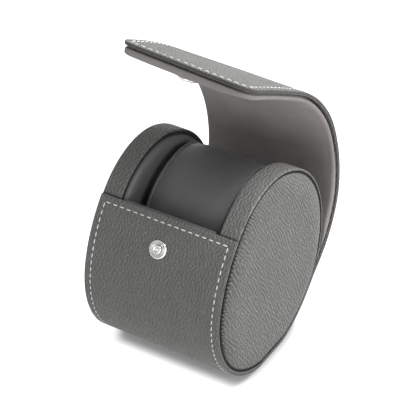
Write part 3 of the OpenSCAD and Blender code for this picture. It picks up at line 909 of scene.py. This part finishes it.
def stitch_tree(material):
    """Nodes that lay stitches along a line: one arched thread at each even step."""
    tree = bpy.data.node_groups.new("Stitch line", "GeometryNodeTree")
    face = tree.interface
    face.new_socket(name="Line", in_out="INPUT", socket_type="NodeSocketGeometry")
    lengths = (("Pitch", 0.003), ("Stitch length", 0.0023), ("Thread width", 0.0006), ("Rise", 0.00025))
    for name, default in lengths:
        made = face.new_socket(name=name, in_out="INPUT", socket_type="NodeSocketFloat")
        made.subtype, made.default_value, made.min_value = "DISTANCE", default, 0.0
    face.new_socket(name="Seed", in_out="INPUT", socket_type="NodeSocketInt").default_value = 0
    face.new_socket(name="Stitches", in_out="OUTPUT", socket_type="NodeSocketGeometry")
    n = Nodes(tree)
    start, end = n.node("NodeGroupInput").outputs, n.node("NodeGroupOutput")

    def carried(name, kind):
        """What the line's points carry under a name."""
        return n.fed("GeometryNodeInputNamedAttribute", {"Name": name}, data_type=kind)

    def varied(low, high):
        """A random vector for each stitch."""
        inputs = {0: low, 1: high, "Seed": start["Seed"]}
        return n.fed("FunctionNodeRandomValue", inputs, data_type="FLOAT_VECTOR")

    stretch = carried("stretch", "FLOAT")
    apart = n.maths("MULTIPLY", start["Pitch"], stretch)
    line = n.fed("GeometryNodeMeshToCurve", {0: start["Line"]})
    steps = n.fed("GeometryNodeResampleCurve", {"Curve": line, "Length": apart}, mode="LENGTH")

    # one stitch, along X, with its ends pushed into the leather
    half = n.maths("MULTIPLY", start["Stitch length"], 0.5)
    sink = n.maths("MULTIPLY", start["Thread width"], -0.35)
    lift = n.maths("MULTIPLY_ADD", start["Rise"], 2, sink)
    places = {
        "Start": {"X": n.maths("MULTIPLY", half, -1), "Z": sink},
        "Middle": {"Z": lift},
        "End": {"X": half, "Z": sink},
    }
    places = {key: n.fed("ShaderNodeCombineXYZ", value) for key, value in places.items()}
    arch = n.fed("GeometryNodeCurveQuadraticBezier", {"Resolution": 6, **places})
    taper = n.node("ShaderNodeFloatCurve")
    points = taper.mapping.curves[0].points
    points[0].location, points[1].location = (0, 0.55), (1, 0.55)
    points.new(0.2, 1.0)
    points.new(0.8, 1.0)
    taper.mapping.update()
    n.put(taper.inputs["Value"], n.node("GeometryNodeSplineParameter").outputs["Factor"])
    thin = n.fed("GeometryNodeSetCurveRadius", {"Curve": arch, "Radius": taper.outputs[0]})
    radius = n.maths("MULTIPLY", start["Thread width"], 0.5)
    inputs = {"Resolution": 8, "Radius": radius}
    ring = n.fed("GeometryNodeCurvePrimitiveCircle", inputs, mode="RADIUS")
    strand = n.node("GeometryNodeCurveToMesh")
    inputs = {"Curve": thin, "Profile Curve": ring, "Fill Caps": True, "Scale": taper.outputs[0]}
    for key, value in inputs.items():
        n.put(strand.inputs[key], value)

    # how each stitch is turned: X along the line, Z away from the leather
    inputs = {"Primary Axis": carried("away", "FLOAT_VECTOR")}
    inputs["Secondary Axis"] = n.node("GeometryNodeInputTangent").outputs[0]
    turned = n.fed("FunctionNodeAxesToRotation", inputs, primary_axis="Z", secondary_axis="X")
    wobble = n.fed("FunctionNodeEulerToRotation", {0: varied((-0.03, -0.02, -0.045), (0.03, 0.02, 0.045))})
    turned = n.fed("FunctionNodeRotateRotation", {0: turned, 1: wobble}, rotation_space="LOCAL")
    size = varied((0.94, 0.95, 0.9), (1.04, 1.05, 1.1))
    longer = n.fed("ShaderNodeCombineXYZ", {"X": stretch, "Y": 1, "Z": 1})
    size = n.fed("ShaderNodeVectorMath", {0: size, 1: longer}, operation="MULTIPLY")
    inputs = {"Points": steps, "Instance": strand.outputs[0], "Rotation": turned, "Scale": size}
    laid = n.fed("GeometryNodeInstanceOnPoints", inputs)
    real = n.fed("GeometryNodeRealizeInstances", {0: laid})
    n.put(end.inputs[0], n.fed("GeometryNodeSetMaterial", {"Geometry": real, "Material": material}))
    return tree


def set_inputs(modifier, values):
    """Sets a modifier's inputs, which are given by name."""
    for item in modifier.node_group.interface.items_tree:
        if item.item_type == "SOCKET" and item.in_out == "INPUT" and item.name in values:
            modifier[item.identifier] = values[item.name]


def plain_copy(obj, name):
    """The evaluated object as a plain mesh of its own, without its modifiers."""
    depsgraph = bpy.context.evaluated_depsgraph_get()
    mesh = bpy.data.meshes.new_from_object(obj.evaluated_get(depsgraph), depsgraph=depsgraph)
    made = bpy.data.objects.new(name, mesh)
    mesh.name = name
    bpy.context.scene.collection.objects.link(made)
    bpy.data.objects.remove(obj)
    return made


def stitch_paths(line, half, inset, corner, pitch):
    """The stitched lines in plan, as (across, run) points: one across the lip, and one round the flap."""
    left, top = -half + inset, inset
    across = np.linspace(left + pitch / 2, -left - pitch / 2, 60)
    lip = np.stack([across, np.full(len(across), top)], -1)
    r = corner - inset
    end = line.tip - inset
    side = np.arange(top + pitch / 2, end - r, 0.0015)
    bow = np.radians(np.linspace(0, 90, 7))
    right = [(-left, s) for s in side]
    right += [(-left - r + r * math.cos(a), end - r + r * math.sin(a)) for a in bow]
    mirrored = [(-x, s) for x, s in reversed(right)]
    return [lip, np.array(right + mirrored)]


class CASE_OT_stitching(Operator):
    """Lay the stitches along the edges of wrap and flap"""

    bl_idname = "case.stitching"
    bl_label = "Stitching"

    CARRIED = (("run", "FLOAT", "value"), ("stretch", "FLOAT", "value"), ("away", "FLOAT_VECTOR", "vector"))
    OVER_LEATHER = 0.00003

    def execute(self, context):
        d, f, s = context.scene.case_drum, context.scene.case_flap, context.scene.case_stitch
        line = WrapLine(Outline())
        points, edges, away, runs = [], [], [], []
        for path in stitch_paths(line, d.half_width, s.inset, f.corner_radius, s.pitch):
            first = len(points)
            x, run = path.T
            depth = line.outside(run) + f.stitch_channel + self.OVER_LEATHER
            points += [tuple(p) for p in line.place(x, run, depth)]
            away += [(0.0, -a, -b) for a, b in left_of(line.heading(run))]
            runs += list(run)
            on_flap = [r > line.root for r in runs]
            edges += [(i, i + 1) for i in range(first, len(points) - 1) if on_flap[i] == on_flap[i + 1]]
        mesh = bpy.data.meshes.new("stitch_lines")
        mesh.from_pydata(points, edges, [])
        stretch = np.where(np.array(runs) > line.root, s.stretch, 1)
        for (name, kind, key), values in zip(self.CARRIED, (runs, stretch, away)):
            layer = mesh.attributes.new(name, kind, "POINT")
            layer.data.foreach_set(key, np.array(values, np.float32).ravel())
        carrier = bpy.data.objects.new("stitch_lines", mesh)
        context.scene.collection.objects.link(carrier)
        modifier = carrier.modifiers.new("Stitches", "NODES")
        modifier.node_group = stitch_tree(finish("Thread"))
        lengths = {"Pitch": s.pitch, "Stitch length": s.thread_length, "Thread width": s.thread_width}
        set_inputs(modifier, {**lengths, "Seed": s.seed})
        whole = plain_copy(carrier, "stitches")
        run = np.zeros(len(whole.data.vertices), np.float32)
        whole.data.attributes["run"].data.foreach_get("value", run)
        cuts = [-ENDLESS, *line.seams()[1:-1], ENDLESS]
        for number in range(STRIPS):
            keep = (run >= cuts[number]) & (run < cuts[number + 1])
            self.part(context, line, number, whole, keep)
        bpy.data.objects.remove(whole)
        return {"FINISHED"}

    def part(self, context, line, number, whole, keep):
        """The stitches of one strip, cut from the whole row."""
        piece = bpy.data.objects.new("stitches_%d" % (number + 1), whole.data.copy())
        piece.data.name = piece.name
        context.scene.collection.objects.link(piece)
        b = bmesh.new()
        b.from_mesh(piece.data)
        b.verts.ensure_lookup_table()
        others = [v for v, k in zip(b.verts, keep) if not k]
        bmesh.ops.delete(b, geom=others, context="VERTS")
        b.to_mesh(piece.data)
        b.free()
        for name, *_ in self.CARRIED:
            left = piece.data.attributes.get(name)
            if left:
                piece.data.attributes.remove(left)
        piece.data.shade_smooth()
        bend_between(piece, line, number)


# ---------- Ends


def rounded(points, radius, steps=4):
    """A closed profile with its corners rounded. radius may be one number or one for each point."""
    radii = radius if hasattr(radius, "__len__") else [radius] * len(points)
    out = []
    n = len(points)
    for i in range(n):
        p, q, r = (np.array(points[j % n], float) for j in (i - 1, i, i + 1))
        a, b = p - q, r - q
        size = min(radii[i], 0.45 * np.linalg.norm(a), 0.45 * np.linalg.norm(b))
        a, b = q + a / np.linalg.norm(a) * size, q + b / np.linalg.norm(b) * size
        if size < 1e-7:
            out.append(tuple(q))
            continue
        for t in np.linspace(0, 1, steps + 1):
            out.append(tuple((1 - t) ** 2 * a + 2 * t * (1 - t) * q + t * t * b))
    return out


def dense(points, step):
    """A closed profile with extra points, so that no stretch is longer than step."""
    out = []
    for p, q in zip(points, points[1:] + points[:1]):
        p, q = np.array(p), np.array(q)
        count = max(1, int(np.linalg.norm(q - p) / step))
        out += [tuple(p + (q - p) * i / count) for i in range(count)]
    return out


SIDES = (("left", -1), ("right", 1))


class CASE_OT_bands(Operator):
    """Build the leather band round each end, turned in over the hoop"""

    bl_idname = "case.bands"
    bl_label = "End bands"

    COUNT = 640
    ROUNDING = (0.0002, 0.0009, 0.0005, 0.0005, 0, 0.0002)  # of the profile's corners
    RUB_AND_HIGHLIGHT_REACH = 0.00045  # reach of the edge's rubbing and painted highlight

    def execute(self, context):
        d = context.scene.case_drum
        inner_x = d.half_width - d.end_width
        lip = math.degrees(Outline().facing_towards(d.lip_angle))
        for name, side in SIDES:
            t, h = d.band_thickness, d.hoop_thickness
            corners = [
                (inner_x, -h),
                (inner_x, t),
                (d.half_width, t),
                (d.half_width, 0.0),
                (inner_x + t, 0.0),
                (inner_x + t, -h),
            ]
            profile = dense(rounded(corners, self.ROUNDING, 5), 0.0006)
            facing = np.degrees(all_round(self.COUNT))
            # the rim's outer edge lighter in flecks: rubbing, and a painted highlight that is strongest
            # where the rim faces up
            rubbed_and_highlit = [math.hypot(x - d.half_width, k - 0.85 * t) < self.RUB_AND_HIGHLIGHT_REACH for x, k in profile]
            # the faces in the groove darkened fully with painted shade
            painted_groove_shade = [[k < 0.0003 and x < d.half_width - 0.00012] for x, k in profile]
            spots = np.clip(waves(on_a_line(facing * 0.001), 0.0022, 5) + 0.6, 0, 1.2)
            highlight_towards_top = 0.15 + 0.65 * bell(facing, 120, 45)
            wear_and_painted_light = np.outer(rubbed_and_highlit, highlight_towards_top * spots) - np.array(painted_groove_shade, float)
            # a painted shadow on the band just above the wrap's lip
            lip_painted_shadow = 0.75 * bell(facing, lip - 0.25, 0.75)
            wear_and_painted_light = np.maximum(wear_and_painted_light - np.outer([k > 0.6 * t for _, k in profile], lip_painted_shadow), -1)
            profile = [(side * x, k) for x, k in profile]
            piece = close_up(swept_ring("band_%s" % name, profile, wear_and_painted_light))
            dress(piece, "Pebbled leather", "drum")
            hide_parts("end_band_%s" % name)
        return {"FINISHED"}


def disc_rings(side, start_x, levels, crown, count):
    """Rings of a domed disc from (rise, k) levels, drawn in to a low crown at the middle."""
    outline, facing = Outline(), all_round(count)
    centre = outline.middle + np.array([0, 0.0015])
    rings = [at_x(side * (start_x + rise), outline.at(facing, k)) for rise, k in levels]
    last, top = rings[-1][:, 1:], start_x + levels[-1][0]
    for f in np.linspace(1, 0, 16)[1:-1]:
        x = side * (top + crown * (1 - f) ** 2 * (1 + 2 * f))
        rings.append(at_x(x, centre + (last - centre) * f))
    pole = np.array([side * (top + crown), *centre])
    return np.array(rings), pole, centre, facing


def grain_map(points, degrees):
    """A map of the side view whose second axis is the way that the grain is drawn out."""
    a = math.radians(degrees)
    y, z = points[..., 1], points[..., 2]
    return 0.8 * np.stack([y * math.sin(a) - z * math.cos(a), y * math.cos(a) + z * math.sin(a)], -1)


class CASE_OT_discs(Operator):
    """Build the padded leather disc that closes each end, and a ring in the groove round it that is dark
    with painted shade
    """

    bl_idname = "case.discs"
    bl_label = "End discs"

    COUNT = 640
    GRAIN = -64 - GRAIN_LEAN  # degrees from the back towards the top

    def execute(self, context):
        d = context.scene.case_drum
        base = d.half_width - d.groove_depth
        rise = d.groove_depth + d.dome_rise
        foot = 0.00034
        for name, side in SIDES:
            levels = [(0.00001, -0.0002), (0.00025, -0.0002), (0.0003, -0.0004), (foot, -d.groove_width)]
            for a in np.radians(np.linspace(4, 90, 26)):
                k = -d.groove_width - d.dome_run * (1 - math.cos(a))
                levels.append((max(rise * math.sin(a), foot), k))
            rings, pole, centre, facing = disc_rings(side, base, levels, 0.0004, self.COUNT)
            back = np.array([side * (base + 0.00001), *centre])
            wear_and_painted_light = self.gather(d, rings, levels, facing, side)
            piece = capped_rings("disc_%s" % name, rings, grain_map(rings, self.GRAIN), back, pole, wear_and_painted_light)
            close_up(piece)
            dress(piece, "Drawn leather", "drum")
            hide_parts("end_disc_%s" % name, "end_foam_%s" % name)
            # a thin ring that fills the groove, dark all over with painted shade
            low, high = side * (base + foot + 0.00002), side * (base + foot + 0.00022)
            inside = -d.groove_width - 0.00002
            seam = [(low, -0.00002), (low, inside), (high, inside), (high, -0.00002)]
            seam = close_up(swept_ring("disc_seam_%s" % name, seam, -np.ones((4, self.COUNT // 2))))
            dress(seam, "Pebbled leather", "drum")
        return {"FINISHED"}

    def gather(self, d, rings, levels, facing, side):
        """Draws the leather into small gathers at the seam, deepest at the front. Returns the painted light
        for the
        layer: painted shade in the groove and on the front shoulder, and painted shade and highlight on the
        gathers.
        """
        spacing, reach, tuck = 0.0021, 0.0023, 0.0012  # of the gathers, and how far they and the tuck go in
        along = distances(rings[3][:, 1:])
        drift = waves(on_a_line(along), 0.006, 11)
        fold = np.sin(2 * math.pi * (along / spacing + 0.45 * drift)) * (0.65 + 0.35 * drift)
        in_front = bell(facing, math.radians(165), math.radians(38))
        front = 0.3 + 0.7 * in_front
        # every ring starts fully dark with painted shade; the crown's rings are cleared below
        wear_and_painted_light = -np.ones(rings.shape[:2])
        outwards = unit(facing)
        for i, (rise, k) in enumerate(levels[4:], 4):
            inside = -d.groove_width - k
            fade = math.exp(-inside / reach) * min(1, (rise - 0.0003) / 0.0006)
            deep = d.pucker * front * fade * fold
            lean = math.exp(-inside / tuck)
            rings[i, :, 0] -= side * deep * (1 - 0.5 * lean)
            rings[i, :, 1:] -= (0.8 * lean * deep)[:, None] * outwards
            # painted shade at the dome's foot, a painted shadow on its shoulder at the front, and the
            # gathers darker in their valleys and lighter on their ridges: painted shade and highlight
            foot = bell(inside, 0, 0.0003 + 0.00056 * in_front)
            shadow = 0.55 * in_front * bell(inside, 0, 0.0019)
            wear_and_painted_light[i] = -foot - (1 - foot) * (shadow + fade * (front - 0.15) * 1.6 * fold)
        wear_and_painted_light[len(levels) :] = 0
        flat = rings[4:] * np.array([0, 1, 1])
        hills = uneven(flat, (0.013, 0.00018, 4), (0.03, 0.0003, 6))
        depth = np.ones(len(rings) - 4)
        depth[: len(levels) - 4] = [min(1, (-d.groove_width - k) / 0.004) for _, k in levels[4:]]
        rings[4:, :, 0] += side * hills * depth[:, None]
        return wear_and_painted_light


class CASE_OT_cheeks(Operator):
    """Build the padded cheek inside each end"""

    bl_idname = "case.cheeks"
    bl_label = "Cheeks"

    def execute(self, context):
        d = context.scene.case_drum
        inner_x = d.half_width - d.end_width
        for name, side in SIDES:
            levels = [(-d.band_thickness, -d.hoop_thickness), (-0.0003, -d.hoop_thickness - 0.00005)]
            for a in np.radians(np.linspace(0, 90, 16)):
                k = -d.hoop_thickness - 0.0001 - d.cheek_run * (1 - math.cos(a))
                levels.append((d.cheek_bulge * math.sin(a), k))
            rings, pole, centre, _ = disc_rings(-side, -inner_x, levels, 0.0, 240)
            soft = uneven(rings[3:], (0.012, 0.0002, 8))
            rings[3:, :, 0] -= side * np.minimum(soft, 0.0001)
            back = np.array([side * (inner_x + d.band_thickness), *centre])
            piece = close_up(capped_rings("cheek_%s" % name, rings, rings[..., 1:], back, pole))
            dress(piece, "Smooth leather", "drum")
            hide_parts("cheek_lining_%s" % name)
        return {"FINISHED"}


# ---------- Inside the drum


def extruded(name, side_line, half, steps):
    """A side view of (Y, Z) points carried across the drum, closed at both ends."""
    n = len(side_line)
    columns = np.linspace(-half, half, steps)
    points = np.array([[(x, y, z) for y, z in side_line] for x in columns]).reshape(-1, 3)
    faces = grid_faces(steps, n, around=True)
    faces.append(tuple(range(n)))
    faces.append(tuple(range((steps - 1) * n, steps * n))[::-1])
    return close_up(make_mesh(name, points, faces, points[:, 1:]), 45)


class CASE_OT_tub(Operator):
    """Build the tub's lining, which is turned over the board's edges, and the padded cradle"""

    bl_idname = "case.tub"
    bl_label = "Tub lining and cradle"

    def execute(self, context):
        d, f = context.scene.case_drum, context.scene.case_flap
        outline = Outline()
        start = outline.facing_towards(d.lip_angle)
        end = outline.facing_towards(f.root_angle) + 2 * math.pi
        outside = d.band_thickness
        inside = outside - d.shell_thickness - d.lining_thickness
        turn_over = 0.0006 / d.top_radius
        lip = [(0, outside - 0.0001), (0.7, outside - 0.0003)]
        lip += [(1, (outside + inside) / 2), (0.7, inside + 0.0002)]
        profile = [(start - turn_over * a, k) for a, k in lip]
        profile += [(a, inside) for a in np.linspace(start, end, 150)]
        profile += [(end + turn_over * a, k) for a, k in lip[::-1]]
        profile += [(a, outside - d.shell_thickness - 0.00002) for a in np.linspace(end, start, 150)]
        facing, k = np.array(profile).T
        half = d.half_width - d.end_width - 0.0022
        piece = extruded("tub_inside", outline.at(facing, k), half, 20)
        dress(piece, "Smooth leather", "drum")
        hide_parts("tub_lining")
        self.cradle(d, outline, inside)
        return {"FINISHED"}

    def cradle(self, d, outline, inside):
        top = outline.height + d.cradle_top
        below = outline.at(np.linspace(-math.pi - 0.4, 0.4, 140), inside - 0.0001)
        hollow = outline.oval(np.linspace(math.pi - 0.7, 2 * math.pi + 0.7, 140), 0.0004)
        below, hollow = (line[line[:, 1] <= top] for line in (below, hollow))
        profile = rounded([tuple(p) for p in np.concatenate([below, hollow[::-1]])], 0.0012, 3)
        piece = extruded("cradle", profile, d.half_width - d.end_width - d.cheek_bulge - 0.0004, 14)
        dress(piece, "Smooth leather", "drum")
        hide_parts("cradle_pad")


def puffed(obj, held, cap):
    """Swells a closed pad with a short cloth simulation, ten times its size. Points that are held stay,
    and no point moves further than the cap."""
    big, voxel, frames = 10, 0.0016, 20  # the scale, the size of a face and the length of the simulation
    pad = bpy.data.objects.new(obj.name + "_pad", obj.data.copy())
    bpy.context.scene.collection.objects.link(pad)
    for v in pad.data.vertices:
        v.co = v.co * big
    remesh = pad.modifiers.new("Remesh", "REMESH")
    remesh.mode, remesh.voxel_size = "VOXEL", voxel * big
    name = obj.name
    pad = plain_copy(pad, name + "_cloth")
    start = np.array([v.co[:] for v in pad.data.vertices])
    group = pad.vertex_groups.new(name="held")
    group.add([i for i, p in enumerate(start / big) if held(p)], 1.0, "REPLACE")
    cloth = pad.modifiers.new("Cloth", "CLOTH")
    c = cloth.settings
    c.quality, c.mass, c.use_pressure, c.uniform_pressure_force = 6, 0.3, True, 4
    c.effector_weights.gravity = 0
    c.vertex_group_mass = "held"
    c.tension_stiffness = c.compression_stiffness = 12
    c.bending_stiffness = 0.4
    cloth.point_cache.frame_start, cloth.point_cache.frame_end = 1, frames
    scene = bpy.context.scene
    for number in range(1, frames + 1):
        scene.frame_set(number)
    depsgraph = bpy.context.evaluated_depsgraph_get()
    swollen = np.array([v.co[:] for v in pad.evaluated_get(depsgraph).data.vertices])
    scene.frame_set(1)
    move = (swollen - start) / big
    far = np.linalg.norm(move, axis=1, keepdims=True)
    move *= np.minimum(1, cap / np.maximum(far, 1e-9))
    pad.modifiers.remove(cloth)
    for v, p in zip(pad.data.vertices, start / big + move):
        v.co = p
    bpy.data.objects.remove(obj)
    pad.name = pad.data.name = name
    pad.data.shade_smooth()
    finer = pad.modifiers.new("Subdivision", "SUBSURF")
    finer.levels = finer.render_levels = 1
    return pad


class CASE_OT_cushion(Operator):
    """Build the loose cushion: an oval tube with two sewn-in end panels and a corded seam round each"""

    bl_idname = "case.cushion"
    bl_label = "Cushion"

    def execute(self, context):
        c = context.scene.case_cushion
        outline = Outline()
        angles = np.linspace(0, 2 * math.pi, 120, endpoint=False)
        slack, rise = 0.0016, c.half_length - c.seam
        rings = []

        def ring(x, k, f=1.0):
            p = outline.oval(angles, k)
            middle = p.mean(0)
            rings.append(at_x(x, middle + (p - middle) * f))

        shoulder = 0.005  # width of the end panel's curved edge
        drawn_in = -slack - shoulder
        quarter = np.radians(np.linspace(0, 90, 9))
        end_levels = [(math.sin(a), -slack - shoulder * (1 - math.cos(a))) for a in quarter]
        shrinking = np.linspace(1, 0, 8)[1:-1]
        for f in shrinking[::-1]:
            ring(-c.half_length, drawn_in, f)
        for up, k in end_levels[::-1]:
            ring(-c.seam - rise * up, k)
        for t in np.linspace(-1, 1, 25)[1:-1]:
            ring(c.seam * t, -slack * abs(t) ** 2.6)
        for up, k in end_levels:
            ring(c.seam + rise * up, k)
        for f in shrinking:
            ring(c.half_length, drawn_in, f)
        middle = rings[0].mean(0)[1:]
        ends = [np.array([x, *middle]) for x in (-c.half_length, c.half_length)]
        rings = np.array(rings)
        piece = close_up(capped_rings("cushion", rings, rings[..., 1:], *ends), 60)
        piece = puffed(piece, lambda p: abs(abs(p[0]) - c.seam) < 0.0011, 0.0015)
        dress(piece, "Smooth leather", "cushion")
        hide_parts("cushion_cover", "cushion_end_left", "cushion_end_right", "cushion_core")
        for name, side in SIDES:
            self.cord(name, side * c.seam, outline.oval(angles, -slack))
        return {"FINISHED"}

    def cord(self, name, x, path):
        """The covered cord sewn into the seam of an end panel."""
        radius, steps = 0.00065, 10
        out = path - path.mean(0)
        out /= np.linalg.norm(out, axis=1)[:, None]
        rings = []
        for a in np.linspace(0, 2 * math.pi, steps, endpoint=False):
            p = path + out * (radius * math.cos(a) + 0.0002)
            rings.append(at_x(x + radius * math.sin(a), p))
        faces = grid_faces(steps, len(path), around=True, closed=True)
        points = np.array(rings).reshape(-1, 3)
        piece = close_up(make_mesh("cushion_cord_%s" % name, points, faces, points[:, 1:]))
        dress(piece, "Smooth leather", "cushion")


class CASE_OT_snap(Operator):
    """Turn the press stud on the front panel and the socket inside the flap"""

    bl_idname = "case.snap"
    bl_label = "Press stud and socket"

    STUD = (
        (0, -0.9), (1.5, -0.9), (1.5, -0.05), (4.3, -0.05), (4.58, 0.1), (4.6, 0.3), (4.45, 0.55),
        (4.1, 0.68), (3.8, 0.66), (3.62, 0.45), (3.55, 0.22), (3.35, 0.2), (3.28, 0.45), (3.1, 0.62),
        (2.85, 0.6), (2.72, 0.34), (2.6, 0.3), (2.42, 0.5), (2.34, 0.8), (2.28, 1.2), (2.1, 1.5),
        (1.85, 1.66), (1.6, 1.7), (1.38, 1.62), (1.25, 1.4), (1.1, 1.34), (0.95, 1.42), (0.8, 1.6),
        (0.5, 1.7), (0.3, 1.66), (0.18, 1.54), (0, 1.5),
    )  # radius and height over the leather, in mm
    SOCKET = (
        (2.2, -0.4), (4.3, -0.4), (4.75, -0.1), (4.8, 0.6), (4.7, 1.1), (4.4, 1.5), (4.05, 1.62),
        (3.7, 1.5), (3.5, 1.15), (3.4, 0.6), (3.3, 0.35), (3.0, 0.28), (2.2, 0.28), (2.0, 0.2),
        (1.2, 0.2), (1.0, 0.28), (0, 0.28),
    )  # radius and height over the padding, in mm

    def execute(self, context):
        d, f, s = context.scene.case_drum, context.scene.case_flap, context.scene.case_snap
        outline = Outline()
        facing = outline.facing_towards(s.angle)
        seat = outline.at(facing, d.band_thickness + f.leather_thickness)
        scale = s.stud_radius / self.STUD[5][0]
        profile = [(r * scale, h * 0.001) for r, h in self.STUD]
        stud = lathe("snap_stud_turned", profile, (0, *seat), (0, *unit(facing)), (1, 0, 0))
        dress(stud, "Plated metal", "drum")
        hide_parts("snap_stud")
        line = WrapLine(outline)
        run = line.tip - s.tip_distance
        scale = s.socket_radius / self.SOCKET[3][0]
        back = 0.00062
        profile = [(0, back), (self.SOCKET[0][0] * scale, back)]
        profile += [(r * scale, f.lining_depth + h * 0.001) for r, h in self.SOCKET]
        inwards = (0, *left_of(line.heading(run)))
        socket = lathe("snap_socket_turned", profile, (0, *line.at(run, 0.0)), inwards, (1, 0, 0))
        dress(socket, "Plated metal", "flap_5")
        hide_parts("snap_socket")
        return {"FINISHED"}


class CASE_OT_inner_parts(Operator):
    """Give the boards, hoops, foam and washers inside the case their finishes"""

    bl_idname = "case.inner_parts"
    bl_label = "Inner parts"

    def execute(self, context):
        finishes = {"board": "Board", "foam": "Foam", "snap_metal": "Plated metal"}
        slots = {p["node"]: p["material_slot"] for p in frame["record"]["subparts"]}
        for name, obj in frame["nodes"].items():
            if obj.hide_render:
                continue
            obj.data.materials.clear()
            covered = name == "tub_shell"  # its edge can be seen at the lip
            obj.data.materials.append(finish("Covered board" if covered else finishes[slots[name]]))
        return {"FINISHED"}


# ---------- Studio


def soft_light(name, place, target, size, power):
    data = bpy.data.lights.new(name, "AREA")
    data.shape, data.size, data.size_y = "RECTANGLE", *size
    data.energy = power
    lamp = bpy.data.objects.new(name, data)
    lamp.location = place
    lamp.rotation_euler = (Vector(target) - Vector(place)).to_track_quat("-Z", "Y").to_euler()
    bpy.context.scene.collection.objects.link(lamp)


class CASE_OT_studio(Operator):
    """Set the floor, the soft lights and the camera"""

    bl_idname = "case.studio"
    bl_label = "Studio"

    AIM = (0, 0, 0.07)
    LIGHTS = (
        ("Key", (0.3, 0.5, 1.0), (0.7, 0.7), 17),
        ("Side", (1.05, -0.1, 0.4), (0.6, 0.6), 4.4),
        ("Front", (0.1, -1.1, 0.3), (0.7, 0.5), 4.1),
    )  # name, place, width and height in metres, and power in watts
    ROOM_LIGHT = 0.35
    AZIMUTH, ELEVATION, ROLL = 31.9, 38.49, -0.76  # of the camera, in degrees
    DISTANCE = 1.0  # from the drum's centre
    LOOKS_ABOVE, LOOKS_RIGHT = 0.01866, 0.00098  # from the drum's centre
    LENS, SENSOR = 176.2, 36
    SHADOW_REACH, SHADOW_DARK, SHADOW_CLEAR, SHADOW_LEVEL = 0.0095, 0.36, 0.96, 0.15

    def execute(self, context):
        scene = context.scene
        scene.view_settings.view_transform = "Standard"
        self.floor(scene.case_finishes.floor)
        scene.world = self.room()
        for name, place, size, power in self.LIGHTS:
            soft_light(name, place, self.AIM, size, power)
        camera = bpy.data.objects.new("Camera", bpy.data.cameras.new("Camera"))
        scene.collection.objects.link(camera)
        scene.camera = camera
        azimuth, elevation, roll = (math.radians(a) for a in (self.AZIMUTH, self.ELEVATION, self.ROLL))
        right = Vector((math.cos(azimuth), math.sin(azimuth), 0))
        away = Vector((math.sin(azimuth), -math.cos(azimuth), 0))
        back = away * math.cos(elevation) + Vector((0, 0, math.sin(elevation)))
        centre = Vector((0, 0, Outline().height))
        camera.location = centre + back * self.DISTANCE
        rolled = Quaternion(back, roll)
        up, right = rolled @ back.cross(right), rolled @ right
        towards = centre + up * self.LOOKS_ABOVE + right * self.LOOKS_RIGHT - camera.location
        camera.rotation_mode = "QUATERNION"
        camera.rotation_quaternion = towards.to_track_quat("-Z", "Y") @ Quaternion((0, 0, 1), roll)
        camera.data.lens, camera.data.sensor_width = self.LENS, self.SENSOR
        camera.data.clip_start, camera.data.clip_end = 0.05, 20
        return {"FINISHED"}

    def room(self):
        """Even light on the object, and plain white where the room is seen or mirrored."""
        world = bpy.data.worlds.new("Soft room")
        world.use_nodes = True
        n = Nodes(world.node_tree)
        back = n.tree.nodes["Background"].inputs
        n.put(back["Color"], (1, 1, 1))
        level = {"Value": n.seen(), "To Min": self.ROOM_LIGHT}
        n.put(back["Strength"], n.fed("ShaderNodeMapRange", level))
        return world

    def floor(self, colour):
        """A plain floor that glows white for the camera, less so close to the case, where the dimmed glow
        paints a contact shadow.
        """
        floor = make_mesh("floor", [(-4, -4, 0), (4, -4, 0), (4, 4, 0), (-4, 4, 0)], [(0, 1, 2, 3)])
        m = Finish("Floor")
        m.put(m.shader.inputs["Base Color"], tuple(colour))
        m.shader.inputs["Roughness"].default_value = 0.9
        near = {"Distance": self.SHADOW_REACH}
        open_to_room = m.fed("ShaderNodeAmbientOcclusion", near, "AO", samples=16)
        white = m.ramp(open_to_room, self.SHADOW_DARK, self.SHADOW_CLEAR, self.SHADOW_LEVEL, 1)
        glow = m.fed("ShaderNodeEmission", {"Strength": m.maths("MULTIPLY", m.seen(), white)})
        m.put(m.out.inputs[0], m.fed("ShaderNodeAddShader", {0: m.shader.outputs[0], 1: glow}))
        floor.data.materials.append(m.material)


OPERATORS = (
    CASE_OT_wrap,
    CASE_OT_lining,
    CASE_OT_stitching,
    CASE_OT_bands,
    CASE_OT_discs,
    CASE_OT_cheeks,
    CASE_OT_tub,
    CASE_OT_cushion,
    CASE_OT_snap,
    CASE_OT_inner_parts,
    CASE_OT_studio,
)
GROUPS = {
    "case_drum": DrumSizes,
    "case_flap": FlapSizes,
    "case_stitch": StitchSizes,
    "case_snap": SnapSizes,
    "case_cushion": CushionSizes,
    "case_finishes": Finishes,
}


class CASE_PT_sidebar(Panel):
    """Sizes, colours and pieces of the watch case"""

    bl_idname = "CASE_PT_sidebar"
    bl_label = "Watch case"
    bl_space_type = "VIEW_3D"
    bl_region_type = "UI"
    bl_category = "Watch case"

    def draw(self, context):
        for operator in OPERATORS:
            self.layout.operator(operator.bl_idname)
        for name, group in GROUPS.items():
            box = self.layout.box()
            box.label(text=group.__doc__)
            for key in group.__annotations__:
                box.prop(getattr(context.scene, name), key)


def register():
    for kind in (*GROUPS.values(), *OPERATORS, CASE_PT_sidebar):
        bpy.utils.register_class(kind)
    for name, group in GROUPS.items():
        setattr(bpy.types.Scene, name, PointerProperty(type=group))


def unregister():
    for name in GROUPS:
        delattr(bpy.types.Scene, name)
    for kind in reversed((*GROUPS.values(), *OPERATORS, CASE_PT_sidebar)):
        bpy.utils.unregister_class(kind)


def main():
    register()
    for operator in OPERATORS:
        group, call = operator.bl_idname.split(".")
        getattr(getattr(bpy.ops, group), call)()


if __name__ == "__main__":
    main()
